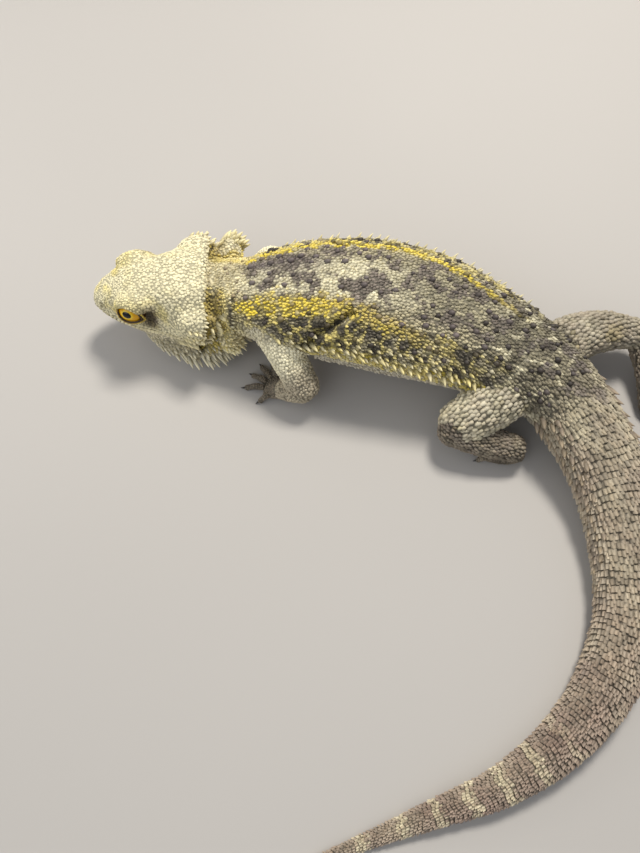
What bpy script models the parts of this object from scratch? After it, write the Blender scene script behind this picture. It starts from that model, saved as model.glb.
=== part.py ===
"""Bearded dragon, a still life-size model: an adult lizard on four feet, its tail curled to one side.

Metres, +Z up, floor at Z = 0. The animal looks along -X and its left flank faces -Y.
"""

import math
import random

import bmesh
import bpy
import numpy as np
from mathutils import Matrix, Vector
from mathutils.bvhtree import BVHTree

MM = 0.001
GAP = 0.3 * MM          # what touching pieces keep between them
FLOOR_SINK = 0.45 * MM  # how far a resting foot or tail is pressed flat

# Trunk: x, y, z of the centre line, half width, rise to the back, drop to the belly, roll in degrees.
TRUNK = {
    "nape": (-91, 102.5, 29.5, 12.5, 11.5, 12.0, 3),
    "neck": (-80, 100.0, 29.5, 15.0, 13.0, 13.5, 3),
    "shoulder": (-69, 97.0, 30.0, 18.5, 14.5, 15.0, 4),
    "arm_line": (-56, 95.5, 31.5, 23.0, 16.0, 16.0, 5),
    "chest": (-40, 95.0, 32.0, 26.3, 16.8, 16.8, 6),
    "ribs": (-22, 93.5, 32.2, 28.8, 17.2, 17.6, 6),
    "belly": (-3, 90.0, 31.5, 29.6, 17.2, 18.2, 6),
    "loin": (16, 84.5, 29.8, 28.4, 17.0, 17.8, 5),
    "waist": (33, 77.0, 27.5, 25.4, 16.2, 16.6, 4),
    "hips": (49, 68.0, 25.0, 22.6, 15.4, 15.2, 2),
    "vent": (65.0, 55.5, 21.5, 18.8, 14.2, 13.6, 0),
    "tail_root": (77.0, 38.0, 17.2, 16.9, 13.1, 12.9, 0),
    "tail_thick": (85.8, 14.5, 13.6, 15.5, 12.0, 12.2, 0),
    "tail_bend_1": (88.6, -13.0, 11.2, 14.2, 10.6, 10.9, 0),
    "tail_bend_2": (84.6, -42.0, 9.4, 12.7, 9.7, 9.4, 0),
    "tail_bend_3": (71.5, -66.5, 8.2, 11.0, 8.5, 8.3, 0),
    "tail_bend_4": (52.5, -86.0, 6.9, 8.8, 7.0, 6.9, 0),
    "tail_whip_1": (30.0, -100.0, 5.5, 6.7, 5.7, 5.6, 0),
    "tail_whip_2": (6.0, -108.8, 3.9, 4.7, 4.1, 4.1, 0),
    "tail_whip_3": (-20.0, -118.0, 2.2, 2.6, 2.3, 2.5, 0),
    "tail_tip": (-54.0, -130.0, 0.9, 0.9, 0.9, 1.3, 0),
}
TRUNK_SIDES = 24
TAIL_SIDES = 14
RINGS_PER_STATION = 2

# Where the trunk is parted, as a station name and how far on towards the next station.
TRUNK_NODES = {
    "neck": (("nape", 0.0), ("shoulder", 0.25)),
    "chest": (("shoulder", 0.25), ("ribs", 0.0)),
    "belly": (("ribs", 0.0), ("loin", 0.6)),
    "pelvis": (("loin", 0.6), ("vent", 0.6)),
    "tail_1": (("vent", 0.6), ("tail_thick", 0.75)),
    "tail_2": (("tail_thick", 0.75), ("tail_bend_2", 0.25)),
    "tail_3": (("tail_bend_2", 0.25), ("tail_bend_4", 0.1)),
    "tail_4": (("tail_bend_4", 0.1), ("tail_whip_2", 0.0)),
    "tail_5": (("tail_whip_2", 0.0), ("tail_tip", 0.0)),
}

# Head, in its own frame: x forward from the nape, y to the animal's left, z up.
HEAD_PLACE = (-85.8, 102.2, 30.0)
HEAD_YAW, HEAD_PITCH, HEAD_ROLL = 2.0, 2.5, 7.0
HEAD_SECTIONS = {
    # x: top, crown half width, crown height, cheek half width and height,
    #    lip half width and height, jaw half width and height, chin height
    -1: (11.6, 12.0, 8.0, 19.0, 1.5, 20.0, -5.5, 18.0, -12.5, -16.0),
    3: (12.4, 13.5, 9.0, 23.5, 1.5, 24.5, -5.6, 22.0, -13.2, -17.2),
    9: (13.2, 14.0, 9.6, 24.2, 1.2, 25.2, -5.8, 23.0, -13.6, -18.2),
    18: (13.6, 13.0, 10.2, 19.8, 0.8, 22.0, -6.0, 21.6, -13.2, -17.4),
    27: (13.2, 11.0, 10.2, 15.2, 0.5, 18.6, -5.8, 18.2, -12.6, -15.8),
    37: (12.2, 11.0, 9.6, 12.2, 0.3, 15.6, -5.3, 14.3, -11.2, -13.6),
    45: (8.2, 8.6, 5.6, 10.6, -0.3, 12.2, -5.0, 10.8, -9.8, -11.4),
    51: (4.4, 6.4, 2.4, 7.9, -1.2, 8.8, -4.6, 7.3, -8.2, -9.4),
    55: (0.9, 3.9, -0.4, 4.8, -2.2, 5.2, -4.3, 4.0, -6.6, -7.6),
    56.3: (-1.8, 1.9, -2.5, 2.3, -3.4, 2.4, -4.4, 1.9, -5.6, -6.3),
}
HEAD_SIDES, HEAD_RINGS = 26, 19
MOUTH_HEIGHTS = {-12: -7.5, 6: -7.0, 16: -5.2, 26: -5.6, 40: -5.2, 50: -4.4, 60: -3.9}
BROW_CENTRE, BROW_RADII = (33.5, 10.2, 7.6), (10.0, 5.9, 5.3)
JOWL_CENTRE, JOWL_RADII = (7.5, 17.2, 0.0), (10.5, 8.3, 9.0)
EYE_CENTRE, EYE_RADIUS = (37.0, 10.9, 3.6), 5.2
LID_RING, LID_THICKNESS = (5.2, 3.3), 1.0
EAR_CENTRE, EAR_RADII = (-0.5, 22.5, -2.2), (2.4, 4.2, 3.6)
NOSTRIL_CENTRE, NOSTRIL_RADIUS = (51.2, 6.7, 1.2), 1.15
BEARD_CENTRE, BEARD_RADII, BEARD_REAR = (7.0, 0.0, -13.6), (33.0, 28.8, 8.6), 21.0
NECK_POUCH_CENTRE, NECK_POUCH_RADII = (-6.0, 20.0, -7.0), (6.0, 8.5, 8.0)

# Limbs: stations of x, y, z, half width, half height, from the body outwards.
LIMBS = {
    "upper_arm_left": (
        (-60, 83, 28, 9.2, 9.4), (-54.5, 74, 24.5, 8.7, 8.8), (-49.5, 66, 19, 8, 8.1),
        (-44.8, 59.5, 13, 7.4, 7.4),
    ),
    "forearm_left": (
        (-45.5, 59, 12.2, 6.6, 6.4), (-51.5, 60.5, 8.6, 5.9, 5.4), (-57, 62.3, 5.8, 4.8, 4.2),
    ),
    "upper_arm_right": (
        (-62, 107, 27, 9.5, 9.8), (-62, 117, 24.5, 8.4, 8.6), (-61, 124.5, 19.5, 7.2, 7.2),
    ),
    "forearm_right": (
        (-61.5, 124.5, 18.5, 6.4, 6.2), (-70, 123.5, 11.5, 5.9, 5.5), (-78, 122, 6.2, 4.8, 4.2),
    ),
    "thigh_left": (
        (51, 60, 22.5, 12, 11.5), (43, 54, 22.6, 12.6, 12.2), (33, 46.6, 19.4, 11.5, 11),
        (22, 41, 15, 8.8, 8.6),
    ),
    "shank_left": (
        (20.5, 40, 12.6, 8, 7.6), (33, 35.2, 11.2, 7.3, 6.9), (48.5, 31.8, 8.5, 6.1, 5.8),
    ),
    "thigh_right": (
        (61, 68, 20.5, 11.5, 11), (75, 79, 22, 10.8, 10.4), (91, 84.5, 20.5, 9, 8.8),
        (109, 86, 16, 6.6, 6.4),
    ),
    "shank_right": (
        (112.5, 83, 14, 6.9, 6.6), (115, 70, 11.2, 6.8, 6.4), (114, 55.5, 6.8, 4.8, 4.5),
    ),
}
LIMB_SIDES = 12

# Hands and feet: wrist or ankle, knuckle line, then each toe's root and tip, innermost toe first.
PAWS = {
    "hand_left": {
        "sole": ((-56.5, 62.3, 4.8, 4.6, 4.2), (-59.5, 63.8, 3.3, 5.4, 3.2), (-62, 65, 2.5, 5.2, 2.6)),
        "toes": (((-58.5, 69), (-60.5, 77)), ((-61, 68.3), (-65.7, 75.6)),
                 ((-62.6, 66.6), (-69.6, 71.2)), ((-63, 64.4), (-72.6, 65.0)), ((-60.6, 61.4), (-66, 58.2))),
    },
    "hand_right": {
        "sole": ((-78.5, 122, 4.8, 4.6, 4.2), (-83, 122.2, 3.3, 5.4, 3.2), (-87.5, 122.8, 2.5, 5.2, 2.6)),
        "toes": (((-83.5, 118.0), (-88.5, 113.0)), ((-87, 119.8), (-94.6, 117.2)),
                 ((-88.5, 122.6), (-97, 123.4)), ((-88, 125.8), (-96.2, 129.6)),
                 ((-84, 127.2), (-88, 133.0))),
    },
    "foot_left": {
        "sole": ((50.5, 31.4, 4.8, 4.9, 4.4), (44.5, 31.2, 3.4, 5.3, 3.3), (38.5, 33, 2.5, 5.4, 2.6)),
        "toes": (((40, 37.0), (37, 44.0)), ((38, 37.0), (32, 46.5)), ((36, 35.8), (25.5, 46.8)),
                 ((35.2, 33.8), (20.5, 45.0)), ((38.8, 29.8), (33.6, 28.9))),
    },
    "foot_right": {
        "sole": ((114, 54, 4.8, 4.7, 4.3), (117, 49.5, 3.4, 5.2, 3.3), (120.5, 44.5, 2.5, 5.3, 2.6)),
        "toes": (((124.5, 44.5), (131.5, 45.0)), ((124, 42.0), (134, 38.5)), ((122.5, 40.5), (131.5, 30.5)),
                 ((120.2, 39.8), (125.5, 25.5)), ((117.0, 43.0), (115.5, 34.5))),
    },
}
TOE_RADIUS, TOE_TIP_RADIUS, TOE_ARCH = 1.8, 1.3, 1.3
TOE_SIDES = 6
CLAW_LENGTH, CLAW_RADIUS, CLAW_DROOP = 3.6, 1.0, 38.0

# Spines: length and root radius of each kind.
FLANK_SPINE = (4.8, 1.15)
UPPER_FLANK_SPINE = (3.2, 1.0)
BACK_SPINE = (2.3, 0.95)
BEARD_SPINE = (9.2, 1.35)
CROWN_SPINE = (3.4, 0.9)
NECK_SPINE = (4.6, 1.15)
TAIL_SPINE = (2.6, 1.15)
SPINE_SIDES = 4
SEED = 11

# Lengthwise rows on both flanks: first and last place, spacing in mm, degrees up from the widest line,
# kind, how far the spines lift, how far they lean back.
TRUNK_SPINE_ROWS = (
    (("arm_line", 0.1), ("waist", 0.6), 4.6, 8, FLANK_SPINE, -0.10, 0.55),
    (("arm_line", 0.4), ("waist", 0.2), 6.5, 23, UPPER_FLANK_SPINE, 0.05, 0.55),
    (("shoulder", 0.6), ("hips", 0.5), 7.5, 52, BACK_SPINE, 0.25, 0.55),
    (("arm_line", 0.5), ("hips", 0.5), 8.5, 74, BACK_SPINE, 0.25, 0.55),
    (("vent", 0.7), ("tail_bend_2", 0.0), 4.4, 2, TAIL_SPINE, 0.0, 1.1),
    (("vent", 0.7), ("tail_bend_1", 0.0), 6.0, 30, TAIL_SPINE, 0.0, 1.2),
)
# The beard's spines fan out from 58 degrees ahead of its widest point to 62 behind it,
# in rows of: height on the pouch, length, number on each side.
BEARD_FAN = (-58, 62)
BEARD_ROWS = ((-0.12, 1.0, 13), (-0.48, 0.82, 11), (0.22, 0.5, 11))
# The neck folds' spines in rows of: height on the fold, length, number on each side.
NECK_ROWS = ((-0.25, 0.9, 5), (0.25, 1.25, 5), (0.7, 1.0, 4))
# Straight rows on each side of the skull: first and last root, direction, length, number.
SKULL_ROWS = (
    ((-1.0, 22.3, -4.5), (-3.6, 19.0, 8.0), (-0.75, 0.75, 0.15), 1.15, 6),
    ((0.5, 24.3, -3.4), (14.5, 24.3, -3.2), (-0.60, 0.90, -0.15), 1.05, 6),
    ((1.0, 24.5, 2.0), (10.0, 23.7, 4.7), (-0.55, 0.90, 0.30), 0.85, 4),
    ((-1.2, 3.0, 10.9), (-1.2, 16.6, 8.4), (-1.00, 0.25, 0.35), 0.7, 5),
)

COLOURS = {
    "head": (0.66, 0.62, 0.38), "beard": (0.52, 0.50, 0.38), "trunk": (0.36, 0.34, 0.25),
    "limb": (0.44, 0.42, 0.31), "tail": (0.46, 0.41, 0.32),
    "claw": (0.10, 0.08, 0.06), "eye": (0.62, 0.36, 0.05),
}


def clear_scene():
    for obj in list(bpy.data.objects):
        bpy.data.objects.remove(obj, do_unlink=True)
    for mesh in list(bpy.data.meshes):
        bpy.data.meshes.remove(mesh)


def make_collection(name):
    collection = bpy.data.collections.new(name)
    bpy.context.scene.collection.children.link(collection)
    return collection


def make_material(name, roughness=0.7):
    material = bpy.data.materials.get(name)
    if material:
        return material
    material = bpy.data.materials.new(name)
    material.use_nodes = True
    shader = material.node_tree.nodes["Principled BSDF"]
    shader.inputs["Base Color"].default_value = (*COLOURS[name], 1.0)
    shader.inputs["Roughness"].default_value = roughness
    shader.inputs["Metallic"].default_value = 0.0
    return material


def add_object(name, mesh, collection):
    obj = bpy.data.objects.new(name, mesh)
    collection.objects.link(obj)
    return obj


def mesh_from_bmesh(name, bm):
    bmesh.ops.recalc_face_normals(bm, faces=bm.faces)
    mesh = bpy.data.meshes.new(name)
    bm.to_mesh(mesh)
    bm.free()
    return mesh


def apply_modifiers(obj):
    graph = bpy.context.evaluated_depsgraph_get()
    baked = bpy.data.meshes.new_from_object(obj.evaluated_get(graph))
    obj.modifiers.clear()
    old = obj.data
    obj.data = baked
    bpy.data.meshes.remove(old)


def boolean(obj, operation, other):
    """Joins or cuts obj by an object or by every object of a collection, then removes what it used."""
    modifier = obj.modifiers.new(operation.lower(), "BOOLEAN")
    modifier.operation = operation
    modifier.solver = "EXACT"
    members = [other]
    if isinstance(other, bpy.types.Collection):
        modifier.operand_type = "COLLECTION"
        modifier.collection = other
        members = list(other.objects)
    else:
        modifier.object = other
    apply_modifiers(obj)
    for member in members:
        bpy.data.objects.remove(member, do_unlink=True)
    keep_largest(obj)


def keep_largest(obj):
    """Keeps only the closed surface with the most room in it."""
    bm = bmesh.new()
    bm.from_mesh(obj.data)
    bm.faces.ensure_lookup_table()
    left, shells = set(bm.faces), []
    while left:
        stack = [left.pop()]
        shell = set(stack)
        while stack:
            for edge in stack.pop().edges:
                for face in edge.link_faces:
                    if face in left:
                        left.remove(face)
                        shell.add(face)
                        stack.append(face)
        shells.append(shell)
    if len(shells) > 1:
        def room(shell):
            points = [v.co for face in shell for v in face.verts]
            low = [min(p[i] for p in points) for i in range(3)]
            high = [max(p[i] for p in points) for i in range(3)]
            return math.prod(h - l for h, l in zip(high, low))
        best = max(shells, key=room)
        bmesh.ops.delete(bm, geom=[f for f in bm.faces if f not in best], context="FACES")
        bm.to_mesh(obj.data)
    bm.free()


def loft(name, rings, collection):
    """A closed surface through rings of equal length; a ring of one point closes an end to a tip."""
    bm = bmesh.new()
    made = [[bm.verts.new(point) for point in ring] for ring in rings]
    for near, far in zip(made, made[1:]):
        count = max(len(near), len(far))
        for i in range(count):
            j = (i + 1) % count
            corners = [near[i % len(near)], near[j % len(near)], far[j % len(far)], far[i % len(far)]]
            bm.faces.new(list(dict.fromkeys(corners)))
    for end in (made[0], made[-1]):
        if len(end) > 2:
            bm.faces.new(end)
    return add_object(name, mesh_from_bmesh(name, bm), collection)


def ellipsoid(name, centre, radii, collection, segments=18, rings=12):
    bm = bmesh.new()
    bmesh.ops.create_uvsphere(bm, u_segments=segments, v_segments=rings, radius=1.0)
    place = Matrix.Translation(centre) @ Matrix.Diagonal((*radii, 1.0))
    bmesh.ops.transform(bm, matrix=place, verts=bm.verts)
    return add_object(name, mesh_from_bmesh(name, bm), collection)


def spline(values, place):
    """A smooth curve through rows of values; place counts rows and may lie between two."""
    last = len(values) - 1
    place = min(max(place, 0.0), float(last))
    i = min(int(place), last - 1)
    t = place - i
    a, b = values[i], values[i + 1]
    before = values[i - 1] if i > 0 else 2 * a - b
    after = values[i + 2] if i + 2 <= last else 2 * b - a
    return 0.5 * (2 * a + (b - before) * t + (2 * before - 5 * a + 4 * b - after) * t**2
                  + (3 * a - before - 3 * b + after) * t**3)


def frame_along(forward, roll=0.0):
    """Side and up directions square to forward, with up as near the vertical as it goes."""
    forward = Vector(forward).normalized()
    side = Vector((0, 0, 1)).cross(forward).normalized()
    up = forward.cross(side).normalized()
    turn = Matrix.Rotation(roll, 3, forward)
    return turn @ side, turn @ up


class Trunk:
    """The body from nape to tail tip as one smooth form that nodes, spines and cuts are taken from."""

    def __init__(self):
        self.names = list(TRUNK)
        self.rows = np.array([TRUNK[name] for name in self.names], float)

    def place(self, mark):
        name, share = mark
        return self.names.index(name) + share

    def section(self, place, grow=0.0):
        row = spline(self.rows, place)
        ahead, behind = spline(self.rows, place + 0.05), spline(self.rows, place - 0.05)
        forward = Vector(behind[:3] - ahead[:3])
        side, up = frame_along(forward, math.radians(-row[6]))
        width, rise, drop = (max(v, 0.5) + grow for v in row[3:6])
        return Vector(row[:3]), side, up, forward.normalized(), width, rise, drop

    def surface(self, place, angle, grow=0.0):
        """A point on the skin, the way out of it, and the way back. Angle 0 is the left side."""
        centre, side, up, forward, width, rise, drop = self.section(place, grow)
        c, s = math.cos(angle), math.sin(angle)
        across = width * math.copysign(abs(c) ** 0.86, c)
        high = (rise if s > 0 else drop) * math.copysign(abs(s) ** 0.92, s)
        out = (side * (c / width) + up * (s / (rise if s > 0 else drop))).normalized()
        return centre + side * across + up * high, out, -forward

    def rings(self, first, last, sides, per_station=RINGS_PER_STATION, grow=0.0):
        count = max(2, round((last - first) * per_station) + 1)
        return [[self.surface(place, math.tau * i / sides, grow)[0] * MM for i in range(sides)]
                for place in np.linspace(first, last, count)]

    def place_step(self, place, distance):
        """The place that lies distance millimetres further along the centre line."""
        here, there = spline(self.rows, place), spline(self.rows, place + 0.01)
        return place + 0.01 * distance / float(np.linalg.norm(there[:3] - here[:3]))


def trunk_nodes(trunk, collection):
    """One solid for each length of the trunk, flat ended, with the gap left between two."""
    nodes = {}
    for name, (start, end) in TRUNK_NODES.items():
        first, last = trunk.place(start), trunk.place(end)
        if name != "neck":
            first = trunk.place_step(first, 0.5 * GAP / MM)
        if name != "tail_5":
            last = trunk.place_step(last, -0.5 * GAP / MM)
        sides = TAIL_SIDES if name in ("tail_3", "tail_4", "tail_5") else TRUNK_SIDES
        node = loft(name, trunk.rings(first, last, sides), collection)
        node.data.materials.append(make_material("tail" if name.startswith("tail") else "trunk"))
        nodes[name] = node
    return nodes


def limb_rings(stations, sides=LIMB_SIDES, grow=0.0, per_station=2, round_ends=True):
    """Rings along a limb, closed at each end by a dome."""
    rows = np.array(stations, float)
    rings = []
    marks = np.linspace(0, len(rows) - 1, (len(rows) - 1) * per_station + 1)
    for place in marks:
        row = spline(rows, place)
        ahead, behind = min(place + 0.05, len(rows) - 1), max(place - 0.05, 0)
        way = Vector(spline(rows, ahead)[:3] - spline(rows, behind)[:3])
        side, up = frame_along(way)
        rings.append((Vector(row[:3]), side, up, way.normalized(), row[3] + grow, row[4] + grow))
    turns = [math.tau * i / sides for i in range(sides)]
    made = [[(c + s * w * math.cos(a) + u * h * math.sin(a)) * MM for a in turns]
            for c, s, u, _, w, h in rings]
    if not round_ends:
        return made
    for (c, s, u, way, w, h), sign in ((rings[0], -1), (rings[-1], 1)):
        reach = 0.8 * min(w, h)
        dome = [[(c + way * sign * reach * math.sin(b)
                  + (s * w * math.cos(a) + u * h * math.sin(a)) * math.cos(b)) * MM for a in turns]
                for b in (math.radians(35), math.radians(65))]
        tip = [(c + way * sign * reach) * MM]
        made = [tip, *dome[::-1], *made] if sign < 0 else [*made, *dome, tip]
    return made


def swollen(obj, collection, by=GAP):
    """A copy whose walls stand off by the gap, to cut a neighbour with."""
    bm = bmesh.new()
    bm.from_mesh(obj.data)
    bmesh.ops.recalc_face_normals(bm, faces=bm.faces)
    moves = [(v, v.normal * by * min(v.calc_shell_factor(), 1.6)) for v in bm.verts]
    for v, move in moves:
        v.co += move
    cutter = add_object(obj.name + "_cutter", mesh_from_bmesh("cutter", bm), collection)
    cutter.hide_render = True
    cutter.display_type = "WIRE"
    return cutter


def cut_by(obj, others, scratch):
    for other in others:
        boolean(obj, "DIFFERENCE", swollen(other, scratch))


def flatten_on_floor(obj, scratch):
    """Cuts away what is pressed into the floor, which leaves a small flat to stand on."""
    if min(v.co.z for v in obj.data.vertices) > FLOOR_SINK:
        return
    bm = bmesh.new()
    bmesh.ops.create_cube(bm, size=1.0)
    bmesh.ops.transform(bm, matrix=Matrix.Translation((0, 0, FLOOR_SINK - 0.5)), verts=bm.verts)
    floor = add_object("floor_cutter", mesh_from_bmesh("floor_cutter", bm), scratch)
    boolean(obj, "DIFFERENCE", floor)


def head_matrix():
    """Turns head coordinates, in millimetres, into the model's, in metres."""
    turn = (Matrix.Rotation(math.radians(180 + HEAD_YAW), 4, "Z")
            @ Matrix.Rotation(math.radians(HEAD_PITCH), 4, "Y")
            @ Matrix.Rotation(math.radians(-HEAD_ROLL), 4, "X"))
    return Matrix.Translation(Vector(HEAD_PLACE) * MM) @ turn @ Matrix.Scale(MM, 4)


def head_ring(x):
    """One cross-section of the skull and jaw: the named points joined by a smooth closed curve."""
    top, crown_w, crown_z, cheek_w, cheek_z, lip_w, lip_z, jaw_w, jaw_z, chin_z = head_row(x)
    left = [(0, top), (0.55 * crown_w, top - 0.2), (crown_w, crown_z), (cheek_w, cheek_z),
            (lip_w, lip_z), (jaw_w, jaw_z), (0.5 * jaw_w, chin_z), (0, chin_z - 0.4)]
    points = np.array(left + [(-y, z) for y, z in left[-2:0:-1]])
    count = len(points)
    padded = np.vstack([points[-2:], points, points[:3]])
    return [Vector((x, *spline(padded, 2 + count * i / HEAD_SIDES))) for i in range(HEAD_SIDES)]


def head_row(x):
    stations = np.array(list(HEAD_SECTIONS), float)
    rows = np.array(list(HEAD_SECTIONS.values()), float)
    return spline(rows, float(np.interp(x, stations, np.arange(len(stations)))))


def head_shell(collection):
    """Skull and jaw together; its rings crowd towards the snout, where the form turns fastest."""
    first, last = min(HEAD_SECTIONS), max(HEAD_SECTIONS)
    rings = []
    for i in range(HEAD_RINGS):
        share = i / (HEAD_RINGS - 1)
        rings.append(head_ring(first + (last - first) * (1.25 * share - 0.25 * share**3)))
    return loft("head", rings, collection)


def mouth_block(drop, collection):
    """Everything below the mouth line, as a block with a curved top."""
    bm = bmesh.new()
    line = [(x, z - drop) for x, z in MOUTH_HEIGHTS.items()]
    steps = [spline(np.array(line, float), place) for place in np.linspace(0, len(line) - 1, 19)]
    outline = [*steps, (steps[-1][0], -60.0), (steps[0][0], -60.0)]
    sides = [[bm.verts.new((x, y, z)) for x, z in outline] for y in (-60.0, 60.0)]
    bm.faces.new(sides[0])
    bm.faces.new(sides[1])
    for i in range(len(outline)):
        j = (i + 1) % len(outline)
        bm.faces.new((sides[0][i], sides[0][j], sides[1][j], sides[1][i]))
    return add_object("mouth_block", mesh_from_bmesh("mouth_block", bm), collection)


def lid_ring(side, collection):
    """Both lids of an eye, as an almond ring that stands off the brow and the cheek."""
    long, short = LID_RING
    out = Vector((0.2, side, 0.38)).normalized()
    ahead = (Vector((1, 0, 0)) - out * out.x).normalized()
    up = ahead.cross(out) * -side
    centre = Vector((EYE_CENTRE[0], EYE_CENTRE[1] * side, EYE_CENTRE[2])) + out * (EYE_RADIUS * 0.62)
    rings = []
    for i in range(14):
        a = math.tau * i / 14
        spot = centre + ahead * long * math.cos(a) + up * short * math.sin(a) - out * 0.9 * abs(math.cos(a))
        outward = (ahead * math.cos(a) + up * math.sin(a)).normalized()
        rings.append([spot + (outward * math.cos(b) + out * math.sin(b)) * LID_THICKNESS
                      for b in (math.tau * k / 5 for k in range(5))])
    bm = bmesh.new()
    made = [[bm.verts.new(p) for p in ring] for ring in rings]
    for near, far in zip(made, made[1:] + made[:1]):
        for k in range(5):
            bm.faces.new((near[k], near[(k + 1) % 5], far[(k + 1) % 5], far[k]))
    return add_object("lid", mesh_from_bmesh("lid", bm), collection)


def mirrored(centre, side):
    return (centre[0], centre[1] * side, centre[2])


def head_nodes(collection, scratch):
    """The head, the jaw with its beard, and the two eyes, built in head coordinates and then set in place."""
    head = head_shell(collection)
    added = make_collection("head_forms")
    for side in (1, -1):
        ellipsoid("brow", mirrored(BROW_CENTRE, side), BROW_RADII, added, 14, 9)
        ellipsoid("jowl", mirrored(JOWL_CENTRE, side), JOWL_RADII, added, 14, 9)
    boolean(head, "UNION", added)
    jaw = add_object("jaw_and_beard", head.data.copy(), collection)
    boolean(head, "DIFFERENCE", mouth_block(0.0, scratch))
    boolean(jaw, "INTERSECT", mouth_block(GAP / MM, scratch))
    throat = make_collection("throat_forms")
    pouch = ellipsoid("pouch", BEARD_CENTRE, BEARD_RADII, throat, segments=22, rings=8)
    for v in pouch.data.vertices:
        if v.co.x < BEARD_CENTRE[0]:
            v.co.x = BEARD_CENTRE[0] + (v.co.x - BEARD_CENTRE[0]) * BEARD_REAR / BEARD_RADII[0]
    boolean(pouch, "INTERSECT", mouth_block(GAP / MM, scratch))
    boolean(jaw, "UNION", throat)
    hollows = make_collection("head_hollows")
    eyes = []
    for side, name in ((1, "eye_left"), (-1, "eye_right")):
        centre = mirrored(EYE_CENTRE, side)
        eyes.append(ellipsoid(name, centre, (EYE_RADIUS,) * 3, collection, segments=16, rings=10))
        ellipsoid("socket", centre, (EYE_RADIUS + GAP / MM,) * 3, hollows, segments=16, rings=10)
        ellipsoid("ear", mirrored(EAR_CENTRE, side), EAR_RADII, hollows, segments=8, rings=6)
        ellipsoid("nostril", mirrored(NOSTRIL_CENTRE, side), (NOSTRIL_RADIUS,) * 3, hollows, 6, 5)
    lids = make_collection("lids")
    for side in (1, -1):
        lid_ring(side, lids)
    boolean(head, "UNION", lids)
    boolean(head, "DIFFERENCE", hollows)
    place = head_matrix()
    for obj, paint in ((head, "head"), (jaw, "beard"), (eyes[0], "eye"), (eyes[1], "eye")):
        obj.data.transform(place)
        obj.data.materials.clear()
        obj.data.materials.append(make_material(paint, 0.15 if paint == "eye" else 0.7))
    return head, jaw, eyes


def toe_path(root, tip, root_height, height):
    """A toe's stations: it rises over the knuckle and comes down to the claw."""
    root, tip = Vector((*root, root_height)), Vector((*tip, TOE_TIP_RADIUS + 0.25))
    middle = (root + tip) / 2 + Vector((0, 0, height))
    return [(*root, TOE_RADIUS + 0.3, TOE_RADIUS), (*middle, TOE_RADIUS, TOE_RADIUS - 0.1),
            (*tip, TOE_TIP_RADIUS, TOE_TIP_RADIUS)]


def claw(name, stations, collection):
    """A claw that leaves the toe's flat end face to face and curves down to a point over the floor."""
    rows = np.array(stations, float)
    end = len(rows) - 1
    way = Vector(spline(rows, end)[:3] - spline(rows, end - 0.05)[:3]).normalized()
    start = math.asin(-way.z)
    flat = Vector((way.x, way.y, 0)).normalized()
    rings = []
    steps = 3
    spot = Vector(rows[-1][:3]) + way * GAP / MM
    for k in range(steps + 1):
        share = k / steps
        dip = start + math.radians(CLAW_DROOP) * (share - 0.35 * math.sin(math.pi * share))
        heading = flat * math.cos(dip) - Vector((0, 0, math.sin(dip)))
        side, up = frame_along(heading)
        radius = CLAW_RADIUS * (1 - share) ** 0.75
        if k == steps:
            rings.append([spot * MM])
        else:
            rings.append([(spot + side * 0.8 * radius * math.cos(a) + up * radius * math.sin(a)) * MM
                          for a in (math.tau * i / 5 for i in range(5))])
        spot = spot + heading * CLAW_LENGTH / steps
        next_radius = CLAW_RADIUS * max(1 - (k + 1) / steps, 0) ** 0.75
        spot.z = max(spot.z, FLOOR_SINK / MM + next_radius + 0.5)
    made = loft(name, rings, collection)
    made.data.materials.append(make_material("claw", 0.4))
    return made


def paw(name, spec, collection, scratch):
    """A palm or sole with its five toes fused on, and the five claws as nodes of their own."""
    node = loft(name, limb_rings(spec["sole"], sides=10, per_station=1), collection)
    toes = make_collection(name + "_toes")
    claws = []
    for number, (root, tip) in enumerate(spec["toes"], 1):
        path = toe_path(root, tip, 2.6, TOE_ARCH)
        rings = limb_rings(path, sides=TOE_SIDES, per_station=1, round_ends=False)
        knuckle = Vector((*root, 2.6)) * MM
        heel = knuckle + (knuckle - Vector((*tip, 2.6)) * MM).normalized() * 2.4 * MM
        rings.insert(0, [heel + (point - knuckle) * 0.8 for point in rings[0]])
        loft("toe", rings, toes)
        claws.append(claw(f"claw_{name}_{number}", path, collection))
    boolean(node, "UNION", toes)
    node.data.materials.append(make_material("limb"))
    flatten_on_floor(node, scratch)
    return node, claws


def limb_nodes(trunk_core, collection, scratch):
    """Arms and legs: each segment stops at the face of the one that carries it."""
    nodes = {}
    for name, stations in LIMBS.items():
        node = loft(name, limb_rings(stations), collection)
        node.data.materials.append(make_material("limb"))
        nodes[name] = node
    for side in ("left", "right"):
        cut_by(nodes["upper_arm_" + side], [trunk_core], scratch)
        cut_by(nodes["thigh_" + side], [trunk_core], scratch)
        cut_by(nodes["forearm_" + side], [nodes["upper_arm_" + side]], scratch)
        cut_by(nodes["shank_" + side], [nodes["thigh_" + side]], scratch)
    return nodes


def neck_pouches(neck, head, jaw, scratch):
    """The two spiny folds of skin beside the neck, fused on; the neck then stops at the head and beard."""
    folds = make_collection("neck_folds")
    for side in (1, -1):
        fold = ellipsoid("fold", mirrored(NECK_POUCH_CENTRE, side), NECK_POUCH_RADII, folds, 12, 8)
        fold.data.transform(head_matrix())
    boolean(neck, "UNION", folds)
    cut_by(neck, [head, jaw], scratch)


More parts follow.
